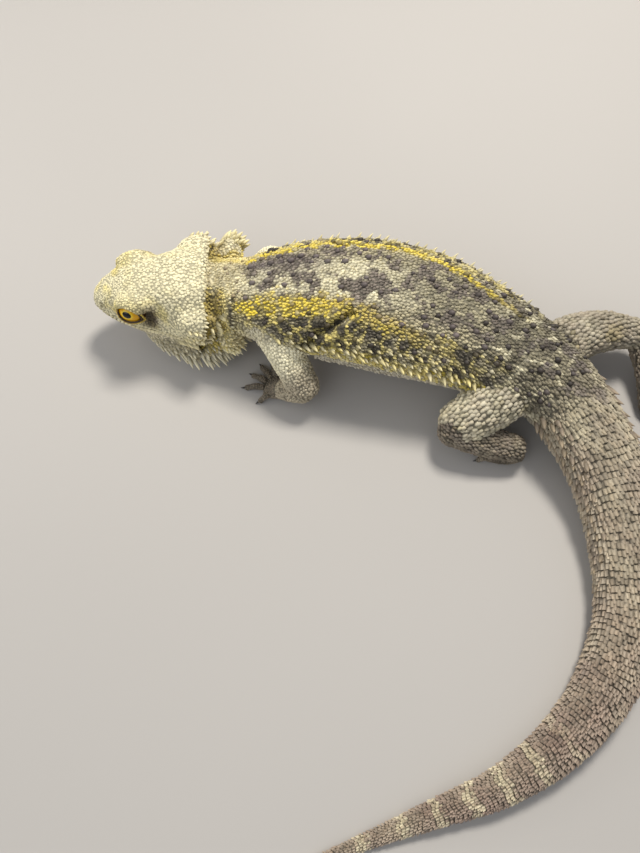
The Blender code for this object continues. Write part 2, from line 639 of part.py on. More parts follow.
class SpineSetter:
    """Plants spines on nodes and refuses any that would meet another node or another node's spine."""

    def __init__(self, nodes):
        graph = bpy.context.evaluated_depsgraph_get()
        self.trees = {name: BVHTree.FromObject(obj, graph) for name, obj in nodes.items()}
        self.boxes = {name: self.box(obj) for name, obj in nodes.items()}
        self.planted = []
        self.waiting = {}

    @staticmethod
    def box(obj):
        points = np.array([v.co for v in obj.data.vertices])
        return points.min(axis=0) - 0.002, points.max(axis=0) + 0.002

    def clear(self, node, spots):
        for name, tree in self.trees.items():
            if name == node:
                continue
            low, high = self.boxes[name]
            for spot, margin in spots:
                if np.any(np.array(spot) < low - margin) or np.any(np.array(spot) > high + margin):
                    continue
                near, normal, _, distance = tree.find_nearest(spot)
                if near is not None and (distance < margin or (spot - near).dot(normal) < 0):
                    return False
        for other, ends in self.planted:
            if other == node:
                continue
            for spot, margin in spots:
                if any((spot - end).length < margin + 1.3 * MM for end in ends):
                    return False
        return True

    def plant(self, node, root, way, kind, scale=1.0, droop=0.0):
        """Sets one spine: root in millimetres, way its direction, droop how far its tip bends down."""
        length, radius = kind[0] * scale * MM, kind[1] * min(scale, 1.15) * MM
        way = way.normalized()
        root = root * MM
        side, up = frame_along(way if abs(way.z) < 0.98 else way + Vector((0.2, 0, 0)))
        tip = root + way * length + Vector((0, 0, -droop * length))
        spots = [(root, radius + 0.5 * MM), (root.lerp(tip, 0.5), 0.7 * radius + 0.4 * MM), (tip, 0.6 * MM)]
        if tip.z < 0.8 * MM or not self.clear(node, spots):
            return
        rings = [[root + way * along * length + (side * math.cos(a) + up * math.sin(a)) * radius * wide
                  + Vector((0, 0, -droop * length * max(along, 0) ** 2))
                  for a in (math.tau * (i + 0.5) / SPINE_SIDES for i in range(SPINE_SIDES))]
                 for along, wide in ((-0.45, 0.9), (0.45, 0.62))]
        self.planted.append((node, [root, root.lerp(tip, 0.5), tip]))
        self.waiting.setdefault(node, []).append([*rings, [tip]])

    def fuse(self, nodes):
        """Joins each node with its own spines in one union."""
        for name, spines in self.waiting.items():
            group = make_collection(name + "_spines")
            for rings in spines:
                loft("spine", rings, group)
            boolean(nodes[name], "UNION", group)


def node_at(trunk, place):
    for name, (start, end) in TRUNK_NODES.items():
        if trunk.place(start) <= place < trunk.place(end):
            return name
    return "tail_5"


def trunk_row(setter, trunk, row, rng):
    """One lengthwise row of spines on both flanks."""
    first, last, spacing, angle, kind, rise, back = row
    place = trunk.place(first)
    while place < trunk.place(last):
        for side in (0, 1):
            at = place + rng.uniform(-0.04, 0.04)
            turn = math.radians(angle + rng.uniform(-3, 3))
            turn = math.pi - turn if side else turn
            root, out, rear = trunk.surface(at, turn)
            way = out + rear * back + Vector((0, 0, rise))
            setter.plant(node_at(trunk, at), root, way, kind, rng.uniform(0.8, 1.2))
        place = trunk.place_step(place, spacing)


def beard_roots(side, rng):
    """Each beard spine's root, direction and length; the pouch is shorter behind its widest point."""
    cx, _, cz = BEARD_CENTRE
    rx, ry, rz = BEARD_RADII
    first, last = (math.radians(v) for v in BEARD_FAN)
    for lift, length, count in BEARD_ROWS:
        flat = math.sqrt(1 - lift**2)
        for k in range(count):
            a = first + (last - first) * (k + 0.5) / count + math.radians(rng.uniform(-2, 2))
            reach = BEARD_REAR if a > 0 else rx
            root = (cx - reach * flat * math.sin(a), side * ry * flat * math.cos(a), cz + rz * lift)
            way = (-0.55 - 0.3 * math.sin(a), side * (0.75 * math.cos(a) + 0.2), -0.42 + 0.4 * lift)
            grown = 0.45 + 0.55 * min(1.0, (a - first) / math.radians(40))
            yield root, way, length * grown * rng.uniform(0.88, 1.1)


def neck_roots(side, rng):
    cx, cy, cz = NECK_POUCH_CENTRE
    rx, ry, rz = NECK_POUCH_RADII
    for lift, length, count in NECK_ROWS:
        flat = math.sqrt(1 - lift**2)
        for k in range(count):
            a = math.radians(-55 + 110 * k / (count - 1))
            root = (cx - rx * flat * math.sin(a), side * (cy + ry * flat * math.cos(a)), cz + rz * lift)
            way = (-0.7 - 0.4 * math.sin(a), side * math.cos(a), 0.1 + 0.5 * lift)
            yield root, way, length * rng.uniform(0.85, 1.15)


def skull_roots(side, rng):
    for first, last, way, length, count in SKULL_ROWS:
        for k in range(count):
            x, y, z = (a + (b - a) * k / (count - 1) for a, b in zip(first, last))
            root = (x + rng.uniform(-0.5, 0.5), side * y, z + rng.uniform(-0.3, 0.3))
            yield root, (way[0], side * way[1], way[2]), length * rng.uniform(0.88, 1.12)


def head_spines(setter, rng):
    """Beard fringe, the edges of the skull, and the neck folds."""
    place = head_matrix()
    turn = place.to_3x3().normalized()

    def plant(node, kind, droop, roots):
        for root, way, length in roots:
            setter.plant(node, place @ Vector(root) / MM, turn @ Vector(way), kind, length, droop)

    for side in (1, -1):
        plant("jaw_and_beard", BEARD_SPINE, 0.06, beard_roots(side, rng))
        plant("head", CROWN_SPINE, 0.0, skull_roots(side, rng))
        plant("neck", NECK_SPINE, 0.0, neck_roots(side, rng))


def spines(nodes, trunk):
    rng = random.Random(SEED)
    setter = SpineSetter(nodes)
    for row in TRUNK_SPINE_ROWS:
        trunk_row(setter, trunk, row, rng)
    head_spines(setter, rng)
    setter.fuse(nodes)


def settle_on_origin(objects):
    """Moves the finished model so that the origin is under the middle of its box, on the floor."""
    points = np.array([v.co for obj in objects for v in obj.data.vertices])
    low, high = points.min(axis=0), points.max(axis=0)
    shift = Matrix.Translation((-(low[0] + high[0]) / 2, -(low[1] + high[1]) / 2, -low[2]))
    for obj in objects:
        obj.data.transform(shift)
        obj.data.shade_smooth()
        obj.data.set_sharp_from_angle(angle=math.radians(40))


def main():
    clear_scene()
    dragon = make_collection("bearded_dragon")
    scratch = make_collection("cutters")
    trunk = Trunk()
    trunk_core = loft("trunk_core", trunk.rings(0.0, trunk.place(("tail_bend_1", 0.0)), TRUNK_SIDES), scratch)
    nodes = trunk_nodes(trunk, dragon)
    head, jaw, eyes = head_nodes(dragon, scratch)
    nodes.update({"head": head, "jaw_and_beard": jaw, "eye_left": eyes[0], "eye_right": eyes[1]})
    neck_pouches(nodes["neck"], head, jaw, scratch)
    cut_by(nodes["chest"], [nodes["neck"]], scratch)
    nodes.update(limb_nodes(trunk_core, dragon, scratch))
    for name, spec in PAWS.items():
        node, claws = paw(name, spec, dragon, scratch)
        side = name.split("_")[1]
        carrier = ("forearm_" if name.startswith("hand") else "shank_") + side
        cut_by(node, [nodes[carrier]], scratch)
        nodes[name] = node
        nodes.update({obj.name: obj for obj in claws})
    for name in ("tail_2", "tail_3", "tail_4", "tail_5"):
        flatten_on_floor(nodes[name], scratch)
    spines(nodes, trunk)
    bpy.data.objects.remove(trunk_core, do_unlink=True)
    settle_on_origin(list(nodes.values()))


main()
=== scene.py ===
# Bearded dragon, still museum-style model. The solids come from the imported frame; this script dresses them.
# Lengths are millimetres in the animal's own frame until toWorld turns them into metres in the model's.

import math

import bmesh
import bpy
import numpy as np
from mathutils import Matrix, Vector, noise
from mathutils.bvhtree import BVHTree
from mathutils.kdtree import KDTree


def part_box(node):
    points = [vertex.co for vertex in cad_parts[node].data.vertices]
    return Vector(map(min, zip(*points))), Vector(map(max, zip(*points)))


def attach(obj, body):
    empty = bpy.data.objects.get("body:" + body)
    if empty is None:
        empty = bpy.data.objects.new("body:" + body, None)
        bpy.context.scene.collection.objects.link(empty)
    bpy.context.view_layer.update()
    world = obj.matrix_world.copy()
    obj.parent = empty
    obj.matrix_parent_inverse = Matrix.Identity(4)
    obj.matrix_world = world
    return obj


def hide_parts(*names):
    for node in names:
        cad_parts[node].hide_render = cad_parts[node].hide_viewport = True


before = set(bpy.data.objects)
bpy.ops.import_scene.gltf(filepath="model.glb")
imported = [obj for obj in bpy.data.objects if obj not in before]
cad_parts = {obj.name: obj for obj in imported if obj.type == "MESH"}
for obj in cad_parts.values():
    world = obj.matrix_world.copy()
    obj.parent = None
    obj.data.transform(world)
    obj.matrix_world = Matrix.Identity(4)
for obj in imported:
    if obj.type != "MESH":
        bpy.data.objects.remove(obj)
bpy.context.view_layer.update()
mm = 0.001
rng = np.random.default_rng(7)

# the body

# nape to tail tip: x, y, z of the centre line, half width, rise to the back, drop to the belly, roll in degrees
trunkRows = np.array([
    (-91, 102.5, 29.5, 12.5, 11.5, 12.0, 3), (-80, 100.0, 29.5, 15.0, 13.0, 13.5, 3),
    (-69, 97.0, 30.0, 18.5, 14.5, 15.0, 4), (-56, 95.5, 31.5, 23.0, 16.0, 16.0, 5),
    (-40, 95.0, 32.0, 26.3, 16.8, 16.8, 6), (-22, 93.5, 32.2, 28.8, 17.2, 17.6, 6),
    (-3, 90.0, 31.5, 29.6, 17.2, 18.2, 6), (16, 84.5, 29.8, 28.4, 17.0, 17.8, 5),
    (33, 77.0, 27.5, 25.4, 16.2, 16.6, 4), (49, 68.0, 25.0, 22.6, 15.4, 15.2, 2),
    (65.0, 55.5, 21.5, 18.8, 14.2, 13.6, 0), (77.0, 38.0, 17.2, 16.9, 13.1, 12.9, 0),
    (85.8, 14.5, 13.6, 15.5, 12.0, 12.2, 0), (88.6, -13.0, 11.2, 14.2, 10.6, 10.9, 0),
    (84.6, -42.0, 9.4, 12.7, 9.7, 9.4, 0), (71.5, -66.5, 8.2, 11.0, 8.5, 8.3, 0),
    (52.5, -86.0, 6.9, 8.8, 7.0, 6.9, 0), (30.0, -100.0, 5.5, 6.7, 5.7, 5.6, 0),
    (6.0, -108.8, 3.9, 4.7, 4.1, 4.1, 0), (-20.0, -118.0, 2.2, 2.6, 2.3, 2.5, 0),
    (-54.0, -130.0, 0.9, 0.9, 0.9, 1.3, 0)], float)

head = {
    "place": (-85.8, 102.2, 30.0), "yaw": 2.0, "pitch": 2.5, "roll": 7.0,
    # x: top, crown half width and height, cheek, lip and jaw half width and height, chin height
    "sections": {
        -1: (11.6, 12.0, 8.0, 19.0, 1.5, 20.0, -5.5, 18.0, -12.5, -16.0),
        3: (12.4, 13.5, 9.0, 23.5, 1.5, 24.5, -5.6, 22.0, -13.2, -17.2),
        9: (13.2, 14.0, 9.6, 24.2, 1.2, 25.2, -5.8, 23.0, -13.6, -18.2),
        18: (13.6, 13.0, 10.2, 19.8, 0.8, 22.0, -6.0, 21.6, -13.2, -17.4),
        27: (13.2, 11.0, 10.2, 15.2, 0.5, 18.6, -5.8, 18.2, -12.6, -15.8),
        37: (12.2, 11.0, 9.6, 12.2, 0.3, 15.6, -5.3, 14.3, -11.2, -13.6),
        45: (8.2, 8.6, 5.6, 10.6, -0.3, 12.2, -5.0, 10.8, -9.8, -11.4),
        51: (4.4, 6.4, 2.4, 7.9, -1.2, 8.8, -4.6, 7.3, -8.2, -9.4),
        55: (0.9, 3.9, -0.4, 4.8, -2.2, 5.2, -4.3, 4.0, -6.6, -7.6),
        56.3: (-1.8, 1.9, -2.5, 2.3, -3.4, 2.4, -4.4, 1.9, -5.6, -6.3)},
    "mouth": {-12: -7.5, 6: -7.0, 16: -5.2, 26: -5.6, 40: -5.2, 50: -4.4, 60: -3.9},
    "brow": ((33.5, 10.2, 7.6), (10.0, 5.9, 5.3)), "jowl": ((7.5, 17.2, 0.0), (10.5, 8.3, 9.0)),
    "beard": ((7.0, 0.0, -13.6), (33.0, 28.8, 8.6), 21.0), "neckFold": ((-6.0, 20.0, -7.0), (6.0, 8.5, 8.0)),
    "eye": (37.0, 10.9, 3.6), "eyeRadius": 5.2, "ear": ((0.6, 22.9, -5.2), (1.9, 3.6, 2.9)),
    "nostril": (51.2, 6.7, 1.2)}

limbs = {
    "upper_arm_left": ((-60, 83, 28, 9.2, 9.4), (-54.5, 74, 24.5, 8.7, 8.8), (-49.5, 66, 19, 8, 8.1),
                       (-44.8, 59.5, 13, 7.4, 7.4)),
    "forearm_left": ((-45.5, 59, 12.2, 6.6, 6.4), (-51.5, 60.5, 8.6, 5.9, 5.4), (-57, 62.3, 5.8, 4.8, 4.2)),
    "upper_arm_right": ((-62, 107, 27, 9.5, 9.8), (-62, 117, 24.5, 8.4, 8.6), (-61, 124.5, 19.5, 7.2, 7.2)),
    "forearm_right": ((-61.5, 124.5, 18.5, 6.4, 6.2), (-70, 123.5, 11.5, 5.9, 5.5), (-78, 122, 6.2, 4.8, 4.2)),
    "thigh_left": ((51, 60, 22.5, 12, 11.5), (43, 54, 22.6, 12.6, 12.2), (33, 46.6, 19.4, 11.5, 11),
                   (22, 41, 15, 8.8, 8.6)),
    "shank_left": ((20.5, 40, 12.6, 8, 7.6), (33, 35.2, 11.2, 7.3, 6.9), (48.5, 31.8, 8.5, 6.1, 5.8)),
    "thigh_right": ((61, 68, 20.5, 11.5, 11), (75, 79, 22, 10.8, 10.4), (91, 84.5, 20.5, 9, 8.8),
                    (109, 86, 16, 6.6, 6.4)),
    "shank_right": ((112.5, 83, 14, 6.9, 6.6), (115, 70, 11.2, 6.8, 6.4), (114, 55.5, 6.8, 4.8, 4.5))}
paws = {
    "hand_left": {"sole": ((-56.5, 62.3, 4.8, 4.6, 4.2), (-59.5, 63.8, 3.3, 5.4, 3.2), (-62, 65, 2.5, 5.2, 2.6)),
                  "toes": (((-58.5, 69), (-60.5, 77)), ((-61, 68.3), (-65.7, 75.6)),
                           ((-62.6, 66.6), (-69.6, 71.2)), ((-63, 64.4), (-72.6, 65)),
                           ((-60.6, 61.4), (-66, 58.2)))},
    "hand_right": {"sole": ((-78.5, 122, 4.8, 4.6, 4.2), (-83, 122.2, 3.3, 5.4, 3.2),
                            (-87.5, 122.8, 2.5, 5.2, 2.6)),
                   "toes": (((-83.5, 118), (-88.5, 113)), ((-87, 119.8), (-94.6, 117.2)),
                            ((-88.5, 122.6), (-97, 123.4)), ((-88, 125.8), (-96.2, 129.6)),
                            ((-84, 127.2), (-88, 133)))},
    "foot_left": {"sole": ((50.5, 31.4, 4.8, 4.9, 4.4), (44.5, 31.2, 3.4, 5.3, 3.3), (38.5, 33, 2.5, 5.4, 2.6)),
                  "toes": (((40, 37), (37, 44)), ((38, 37), (32, 46.5)), ((36, 35.8), (25.5, 46.8)),
                           ((35.2, 33.8), (20.5, 45)), ((38.8, 29.8), (33.6, 28.9)))},
    "foot_right": {"sole": ((114, 54, 4.8, 4.7, 4.3), (117, 49.5, 3.4, 5.2, 3.3), (120.5, 44.5, 2.5, 5.3, 2.6)),
                   "toes": (((124.5, 44.5), (131.5, 45)), ((124, 42), (134, 38.5)), ((122.5, 40.5), (131.5, 30.5)),
                            ((120.2, 39.8), (125.5, 25.5)), ((117, 43), (115.5, 34.5)))}}
toe = {"radius": 1.8, "tipRadius": 1.3, "arch": 1.3, "rootHeight": 2.6, "clawLength": 3.6, "clawRadius": 1.0,
       "skinDepth": -0.2, "skinWidth": 1.5}
skinShape = {"depth": 0.45, "voxel": 0.94, "smoothing": 3, "sides": 72}


def splineAt(rows, places):  # a smooth curve through rows; places may lie between two
    rows = np.asarray(rows, float)
    last = len(rows) - 1
    places = np.clip(np.atleast_1d(np.asarray(places, float)), 0, last)
    i = np.minimum(places.astype(int), last - 1)
    t = (places - i)[:, None]
    a, b = rows[i], rows[i + 1]
    before = np.where((i > 0)[:, None], rows[np.maximum(i - 1, 0)], 2 * a - b)
    after = np.where((i + 2 <= last)[:, None], rows[np.minimum(i + 2, last)], 2 * b - a)
    return 0.5 * (2 * a + (b - before) * t + (2 * before - 5 * a + 4 * b - after) * t**2
                  + (3 * a - before - 3 * b + after) * t**3)


def unit(v):
    return v / np.maximum(np.linalg.norm(v, axis=-1, keepdims=True), 1e-9)


def signedPower(v, power):
    return np.copysign(np.abs(v) ** power, v)


def framesAlong(forward, roll=0.0):  # side and up square to forward, up as near the vertical as it goes
    side = unit(np.cross((0.0, 0.0, 1.0), forward))
    up = unit(np.cross(forward, side))
    c, s = np.cos(roll), np.sin(roll)
    if np.ndim(roll):
        c, s = c[:, None], s[:, None]
    return side * c + up * s, up * c - side * s


def trunkSurface(places, angles, grow=0.0):  # skin points, the way out and the way back; angle 0 is the left side
    places, angles = np.broadcast_arrays(np.atleast_1d(places).astype(float), np.asarray(angles, float))
    row = splineAt(trunkRows, places)
    forward = unit(splineAt(trunkRows, places - 0.05)[:, :3] - splineAt(trunkRows, places + 0.05)[:, :3])
    side, up = framesAlong(forward, np.radians(-row[:, 6]))
    width, rise, drop = (np.maximum(row[:, k], 0.5) + grow for k in (3, 4, 5))
    c, s = np.cos(angles), np.sin(angles)
    tall = np.where(s > 0, rise, drop)
    out = unit(side * (c / width)[:, None] + up * (s / tall)[:, None])
    spots = (row[:, :3] + side * (width * signedPower(c, 0.86))[:, None]
             + up * (tall * signedPower(s, 0.92))[:, None])
    return spots, out, -forward


def limbSurface(rows, places, angles, grow=0.0):
    rows = np.asarray(rows, float)
    last = len(rows) - 1
    places, angles = np.broadcast_arrays(np.atleast_1d(places).astype(float), np.asarray(angles, float))
    row = splineAt(rows, places)
    ahead, behind = (splineAt(rows, p)[:, :3] for p in (np.minimum(places + 0.05, last), np.maximum(places - 0.05, 0)))
    way = unit(ahead - behind)
    side, up = framesAlong(way)
    w, h = row[:, 3] + grow, row[:, 4] + grow
    c, s = np.cos(angles), np.sin(angles)
    out = unit(side * (c / w)[:, None] + up * (s / h)[:, None])
    return row[:, :3] + side * (w * c)[:, None] + up * (h * s)[:, None], out, way


def limbRings(rows, sides=28, grow=0.0, perStation=6):  # closed at each end by a dome
    rows = np.asarray(rows, float)
    turns = np.arange(sides) * math.tau / sides
    places = np.linspace(0, len(rows) - 1, (len(rows) - 1) * perStation + 1)
    rings = [limbSurface(rows, np.full(sides, p), turns, grow)[0] for p in places]
    for sign, end in ((-1, 0), (1, -1)):
        row, edge = rows[end], rings[end]
        centre = row[:3]
        way = limbSurface(rows, [places[end]], [0.0])[2][0] * sign
        reach = 0.8 * min(row[3], row[4]) + grow
        dome = [centre + way * reach * math.sin(b) + (edge - centre) * math.cos(b)
                for b in np.radians((20, 40, 60, 80))]
        tip = [(centre + way * reach)]
        rings = [tip, *dome[::-1], *rings] if sign < 0 else [*rings, *dome, tip]
    return rings


headTurn = (Matrix.Rotation(math.radians(180 + head["yaw"]), 3, "Z")
            @ Matrix.Rotation(math.radians(head["pitch"]), 3, "Y")
            @ Matrix.Rotation(math.radians(-head["roll"]), 3, "X"))
headAxes = np.array(headTurn)
headPlace = np.array(head["place"])
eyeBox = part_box("eye_left")
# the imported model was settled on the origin, and the eye shows by how much
settled = (np.array(eyeBox[0]) + np.array(eyeBox[1])) / 2 / mm - (headPlace + headAxes @ np.array(head["eye"]))
print("settled by mm", np.round(settled, 3))


def fromHead(points):  # head frame (x ahead, y to the animal's left, z up) to the animal's frame
    return np.asarray(points, float) @ headAxes.T + headPlace


def toHead(points):
    return (np.asarray(points, float) - headPlace) @ headAxes


def toWorld(points):
    return (np.asarray(points, float) + settled) * mm


def fromWorld(points):
    return np.asarray(points, float) / mm - settled


def alongTable(table, x):  # a smooth reading of a table whose keys are places along the head
    marks = np.array(list(table), float)
    return splineAt(np.array([np.atleast_1d(v) for v in table.values()], float), np.interp(x, marks, np.arange(len(marks))))


def headRing(x, sides, grow=0.0):  # one cross-section of skull and jaw, from the top round by the left
    top, crownW, crownZ, cheekW, cheekZ, lipW, lipZ, jawW, jawZ, chin = alongTable(head["sections"], x)[0]
    left = [(0, top), (0.55 * crownW, top - 0.2), (crownW, crownZ), (cheekW, cheekZ), (lipW, lipZ), (jawW, jawZ),
            (0.5 * jawW, chin), (0, chin - 0.4)]
    points = np.array(left + [(-y, z) for y, z in left[-2:0:-1]])
    count = len(points)
    padded = np.vstack([points[-2:], points, points[:3]])
    ring = splineAt(padded, 2 + count * np.arange(sides) / sides)
    middle = ring.mean(axis=0)
    ring = middle + (ring - middle) * (1 + grow / np.linalg.norm(ring - middle, axis=1).mean())
    return np.column_stack([np.full(sides, float(x)), ring])


def mouthHeight(x):
    return alongTable(head["mouth"], x)[:, 0]


def outwardMesh(name, verts, faces):  # a plain mesh with its faces turned outwards
    mesh = bpy.data.meshes.new(name)
    mesh.from_pydata(verts, [], faces)
    bm = bmesh.new()
    bm.from_mesh(mesh)
    bmesh.ops.recalc_face_normals(bm, faces=bm.faces)
    bm.to_mesh(mesh)
    bm.free()
    return mesh


def loftMesh(name, rings):  # a closed surface through rings; a ring of one point closes an end
    verts, faces, starts = [], [], []
    for ring in rings:
        starts.append(len(verts))
        verts += [tuple(p) for p in ring]
    for k in range(len(rings) - 1):
        near, far = len(rings[k]), len(rings[k + 1])
        count = max(near, far)
        for i in range(count):
            j = (i + 1) % count
            corners = [starts[k] + i % near, starts[k] + j % near, starts[k + 1] + j % far, starts[k + 1] + i % far]
            faces.append(list(dict.fromkeys(corners)))
    for k in (0, len(rings) - 1):
        if len(rings[k]) > 2:
            faces.append([starts[k] + i for i in range(len(rings[k]))])
    return outwardMesh(name, verts, faces)


def ellipsoidMesh(name, centre, radii, segments=40, rings=24, shape=None):
    bm = bmesh.new()
    bmesh.ops.create_uvsphere(bm, u_segments=segments, v_segments=rings, radius=1.0)
    for v in bm.verts:
        v.co = Vector(centre) + Vector([a * b for a, b in zip(v.co, radii)])
        if shape:
            v.co = shape(v.co)
    mesh = bpy.data.meshes.new(name)
    bm.to_mesh(mesh)
    bm.free()
    return mesh


def joinMeshes(name, meshes):  # the meshes that go in are used up
    bm = bmesh.new()
    for mesh in meshes:
        bm.from_mesh(mesh)
        bpy.data.meshes.remove(mesh)
    joined = bpy.data.meshes.new(name)
    bm.to_mesh(joined)
    bm.free()
    return joined


def meshPoints(mesh):
    points = np.empty(len(mesh.vertices) * 3)
    mesh.vertices.foreach_get("co", points)
    return points.reshape(-1, 3)


def moveMesh(mesh, move):  # move takes and gives an array of points
    mesh.vertices.foreach_set("co", np.ascontiguousarray(move(meshPoints(mesh)), float).ravel())
    mesh.update()
    return mesh


def addPiece(name, mesh):
    piece = bpy.data.objects.new(name, mesh)
    bpy.context.scene.collection.objects.link(piece)
    return piece


def settleModifiers(piece):  # live modifiers turned into plain mesh
    graph = bpy.context.evaluated_depsgraph_get()
    mesh = bpy.data.meshes.new_from_object(piece.evaluated_get(graph))
    old = piece.data
    piece.modifiers.clear()
    piece.data = mesh
    bpy.data.meshes.remove(old)


def toePath(root, tip):
    root = np.array((*root, toe["rootHeight"]))
    tip = np.array((*tip, toe["tipRadius"] + 0.25))
    middle = (root + tip) / 2 + (0, 0, toe["arch"])
    return np.array([(*root, toe["radius"] + 0.3, toe["radius"]), (*middle, toe["radius"], toe["radius"] - 0.1),
                     (*tip, toe["tipRadius"], toe["tipRadius"])])


def mirrorY(point, side):
    return (point[0], point[1] * side, point[2])


bothSides = ((1, "left"), (-1, "right"))


# the skin: every form of flesh, joined by a voxel remesh
lidShape = {"skin": 0.75, "long": 5.2, "behind": 1.3, "upper": 3.7, "lower": 3.5, "point": 2.2, "tilt": 0.5,
            "axis": (0.14, 0.72), "opening": ((0.6, 0.8), (3.0, 0.92), (5.2, 1.0), (9.0, 1.12))}
eyeAxes = {}
for side, label in bothSides:
    out = Vector((lidShape["axis"][0], side, lidShape["axis"][1])).normalized()
    level = (Vector((1, 0, 0)) - out * out.x).normalized()
    ahead = (level * math.cos(lidShape["tilt"]) + level.cross(out) * side * math.sin(lidShape["tilt"])).normalized()
    eyeAxes[label] = tuple(np.array(v) for v in (mirrorY(head["eye"], side), out, ahead, ahead.cross(out) * side))


def almond(turn):  # the eye's opening seen along its axis: ahead and up of its centre
    x = math.cos(turn) * lidShape["long"] * (lidShape["behind"] if math.cos(turn) < 0 else 1.0)
    tall = lidShape["upper"] if math.sin(turn) > 0 else lidShape["lower"]
    return x, math.copysign(tall * (1 - abs(math.cos(turn)) ** lidShape["point"]), math.sin(turn))


def eyeSpot(label, x, y, radius):  # a point over the eyeball, on a sphere that is drawn out behind
    centre, out, ahead, up = eyeAxes[label]
    deep = math.sqrt(max(radius**2 - (x / (lidShape["behind"] * 1.07 if x < 0 else 1.0)) ** 2 - y**2, 0.0))
    return centre + ahead * x + up * y + out * deep


def almondCutter(label):
    centre, out, ahead, up = eyeAxes[label]
    rings = []
    for reach, grow in lidShape["opening"]:
        outline = (almond(math.tau * (k + 0.5) / 40) for k in range(40))
        rings.append([centre + ahead * x * grow + up * y * grow + out * reach for x, y in outline])
    return loftMesh("opening", rings)


def eyeBall(name, side, grow):
    return ellipsoidMesh(name, mirrorY(head["eye"], side), (head["eyeRadius"] + grow,) * 3, 48, 32)


def headForms():
    depth = -skinShape["depth"]
    first, last = min(head["sections"]), max(head["sections"])
    shares = np.linspace(0, 1, 61)
    rings = [headRing(first + (last - first) * (1.25 * t - 0.25 * t**3), skinShape["sides"], depth) for t in shares]
    meshes = [loftMesh("skull", rings)]
    (bx, by, bz), (brx, bry, brz), rear = head["beard"]
    squash = lambda v: Vector((bx + (v.x - bx) * (rear / brx if v.x < bx else 1.0), v.y,
                               min(v.z, -7.2 + 0.1 * (v.z + 7.2))))
    meshes.append(ellipsoidMesh("pouch", (bx, by, bz), (brx + depth, bry + depth, brz + depth), 72, 40, squash))
    for side, _ in bothSides:
        for key in ("brow", "jowl", "neckFold"):
            centre, radii = head[key]
            meshes.append(ellipsoidMesh(key, mirrorY(centre, side), [r + depth for r in radii]))
        meshes.append(eyeBall("lid", side, lidShape["skin"]))
    return [moveMesh(mesh, fromHead) for mesh in meshes]


def trunkForm():
    count = skinShape["sides"]
    turns = np.arange(count) * math.tau / count
    rings = []
    for p in np.concatenate([np.linspace(0, 14, 113), np.linspace(14.1, 20, 60)]):
        thin = -skinShape["depth"] * min(1.0, float(splineAt(trunkRows, p)[0, 3]) / 6)  # less on the tail's end
        rings.append(trunkSurface(np.full(count, p), turns, thin)[0])
    return loftMesh("trunk", rings)


def limbForms():
    depth = -skinShape["depth"]
    return ([loftMesh(name, limbRings(rows, grow=depth)) for name, rows in limbs.items()]
            + [loftMesh("palm", limbRings(spec["sole"], grow=toe["skinDepth"])) for spec in paws.values()])


def toeForms():  # too fine for the remesh, so they are set in the palms after it
    meshes = []
    for spec in paws.values():
        for root, tip in spec["toes"]:
            path = toePath(root, tip)
            path[1, 2] += 0.3
            inward = path[0, :3] + unit(path[0, :3] - path[1, :3]) * (2.4, 2.4, 0) * 1.2
            path[:, 3:] = np.minimum(path[:, 3:], toe["skinWidth"])
            rings = limbRings(np.vstack([[*inward, 1.5, 1.3], path]), 14, toe["skinDepth"], 7)
            for k, ring in enumerate(rings):
                if len(ring) > 1:
                    middle = np.mean(ring, axis=0)
                    knuckle = 1 + 0.10 * math.cos(math.tau * k / len(rings) * 3.5)
                    rings[k] = middle + (np.array(ring) - middle) * knuckle
            meshes.append(loftMesh("toe", rings))
    return meshes


def floorTrim(mesh):  # nothing goes below the flats that the model stands on
    moveMesh(mesh, lambda points: np.maximum(points, (-9, -9, 0.02 * mm)))


def cutWith(piece, meshes):
    cutterMesh = joinMeshes("cutters", meshes)
    cutter = addPiece("cutters", cutterMesh)
    cut = piece.modifiers.new("cut", "BOOLEAN")
    cut.operation = "DIFFERENCE"
    cut.solver = "MANIFOLD"
    cut.object = cutter
    settleModifiers(piece)
    bpy.data.objects.remove(cutter, do_unlink=True)
    bpy.data.meshes.remove(cutterMesh)


def inOrder(mesh):  # a cut leaves its faces in another order each time, so they are laid out again by their corners
    faces = []
    for face in mesh.polygons:
        corners = list(face.vertices)
        first = corners.index(min(corners))
        faces.append(corners[first:] + corners[:first])
    ordered = bpy.data.meshes.new(mesh.name)
    ordered.from_pydata(meshPoints(mesh).tolist(), [], sorted(faces))
    return ordered


def kdOf(points):
    tree = KDTree(len(points))
    for i, p in enumerate(points):
        tree.insert(p, i)
    tree.balance()
    return tree


def eased(value, low, high):
    t = np.clip((np.asarray(value, float) - low) / (high - low), 0, 1)
    return t * t * (3 - 2 * t)


def falling(value, low, high):  # 1 at low, 0 at high
    return 1 - eased(value, low, high)


def hump(value, middle, wide):  # 1 at the middle, fading to both sides
    return np.exp(-(((value - middle) / wide) ** 2))


def grooveAlong(points, path, width, depth, lip):  # how far a line moves points: down along it, up beside it
    tree = kdOf(path)
    pressed = np.zeros(len(points))
    for i, p in enumerate(points):
        _, _, far = tree.find(p)
        if far < 3.5 * width:
            pressed[i] = -depth * math.exp(-(far / width) ** 2) + lip * math.exp(-((far - 1.7 * width) / width) ** 2)
    return pressed


def makeSkin():
    forms = joinMeshes("skin", [trunkForm(), *limbForms(), *headForms()])
    skin = addPiece("skin", moveMesh(forms, toWorld))
    remesh = skin.modifiers.new("fuse", "REMESH")
    remesh.mode = "VOXEL"
    remesh.voxel_size = skinShape["voxel"] * mm
    soften = skin.modifiers.new("soften", "SMOOTH")
    soften.iterations = skinShape["smoothing"]
    soften.factor = 0.5
    settleModifiers(skin)
    return skin


skin = makeSkin()
print("skin fused:", len(skin.data.polygons), "faces")


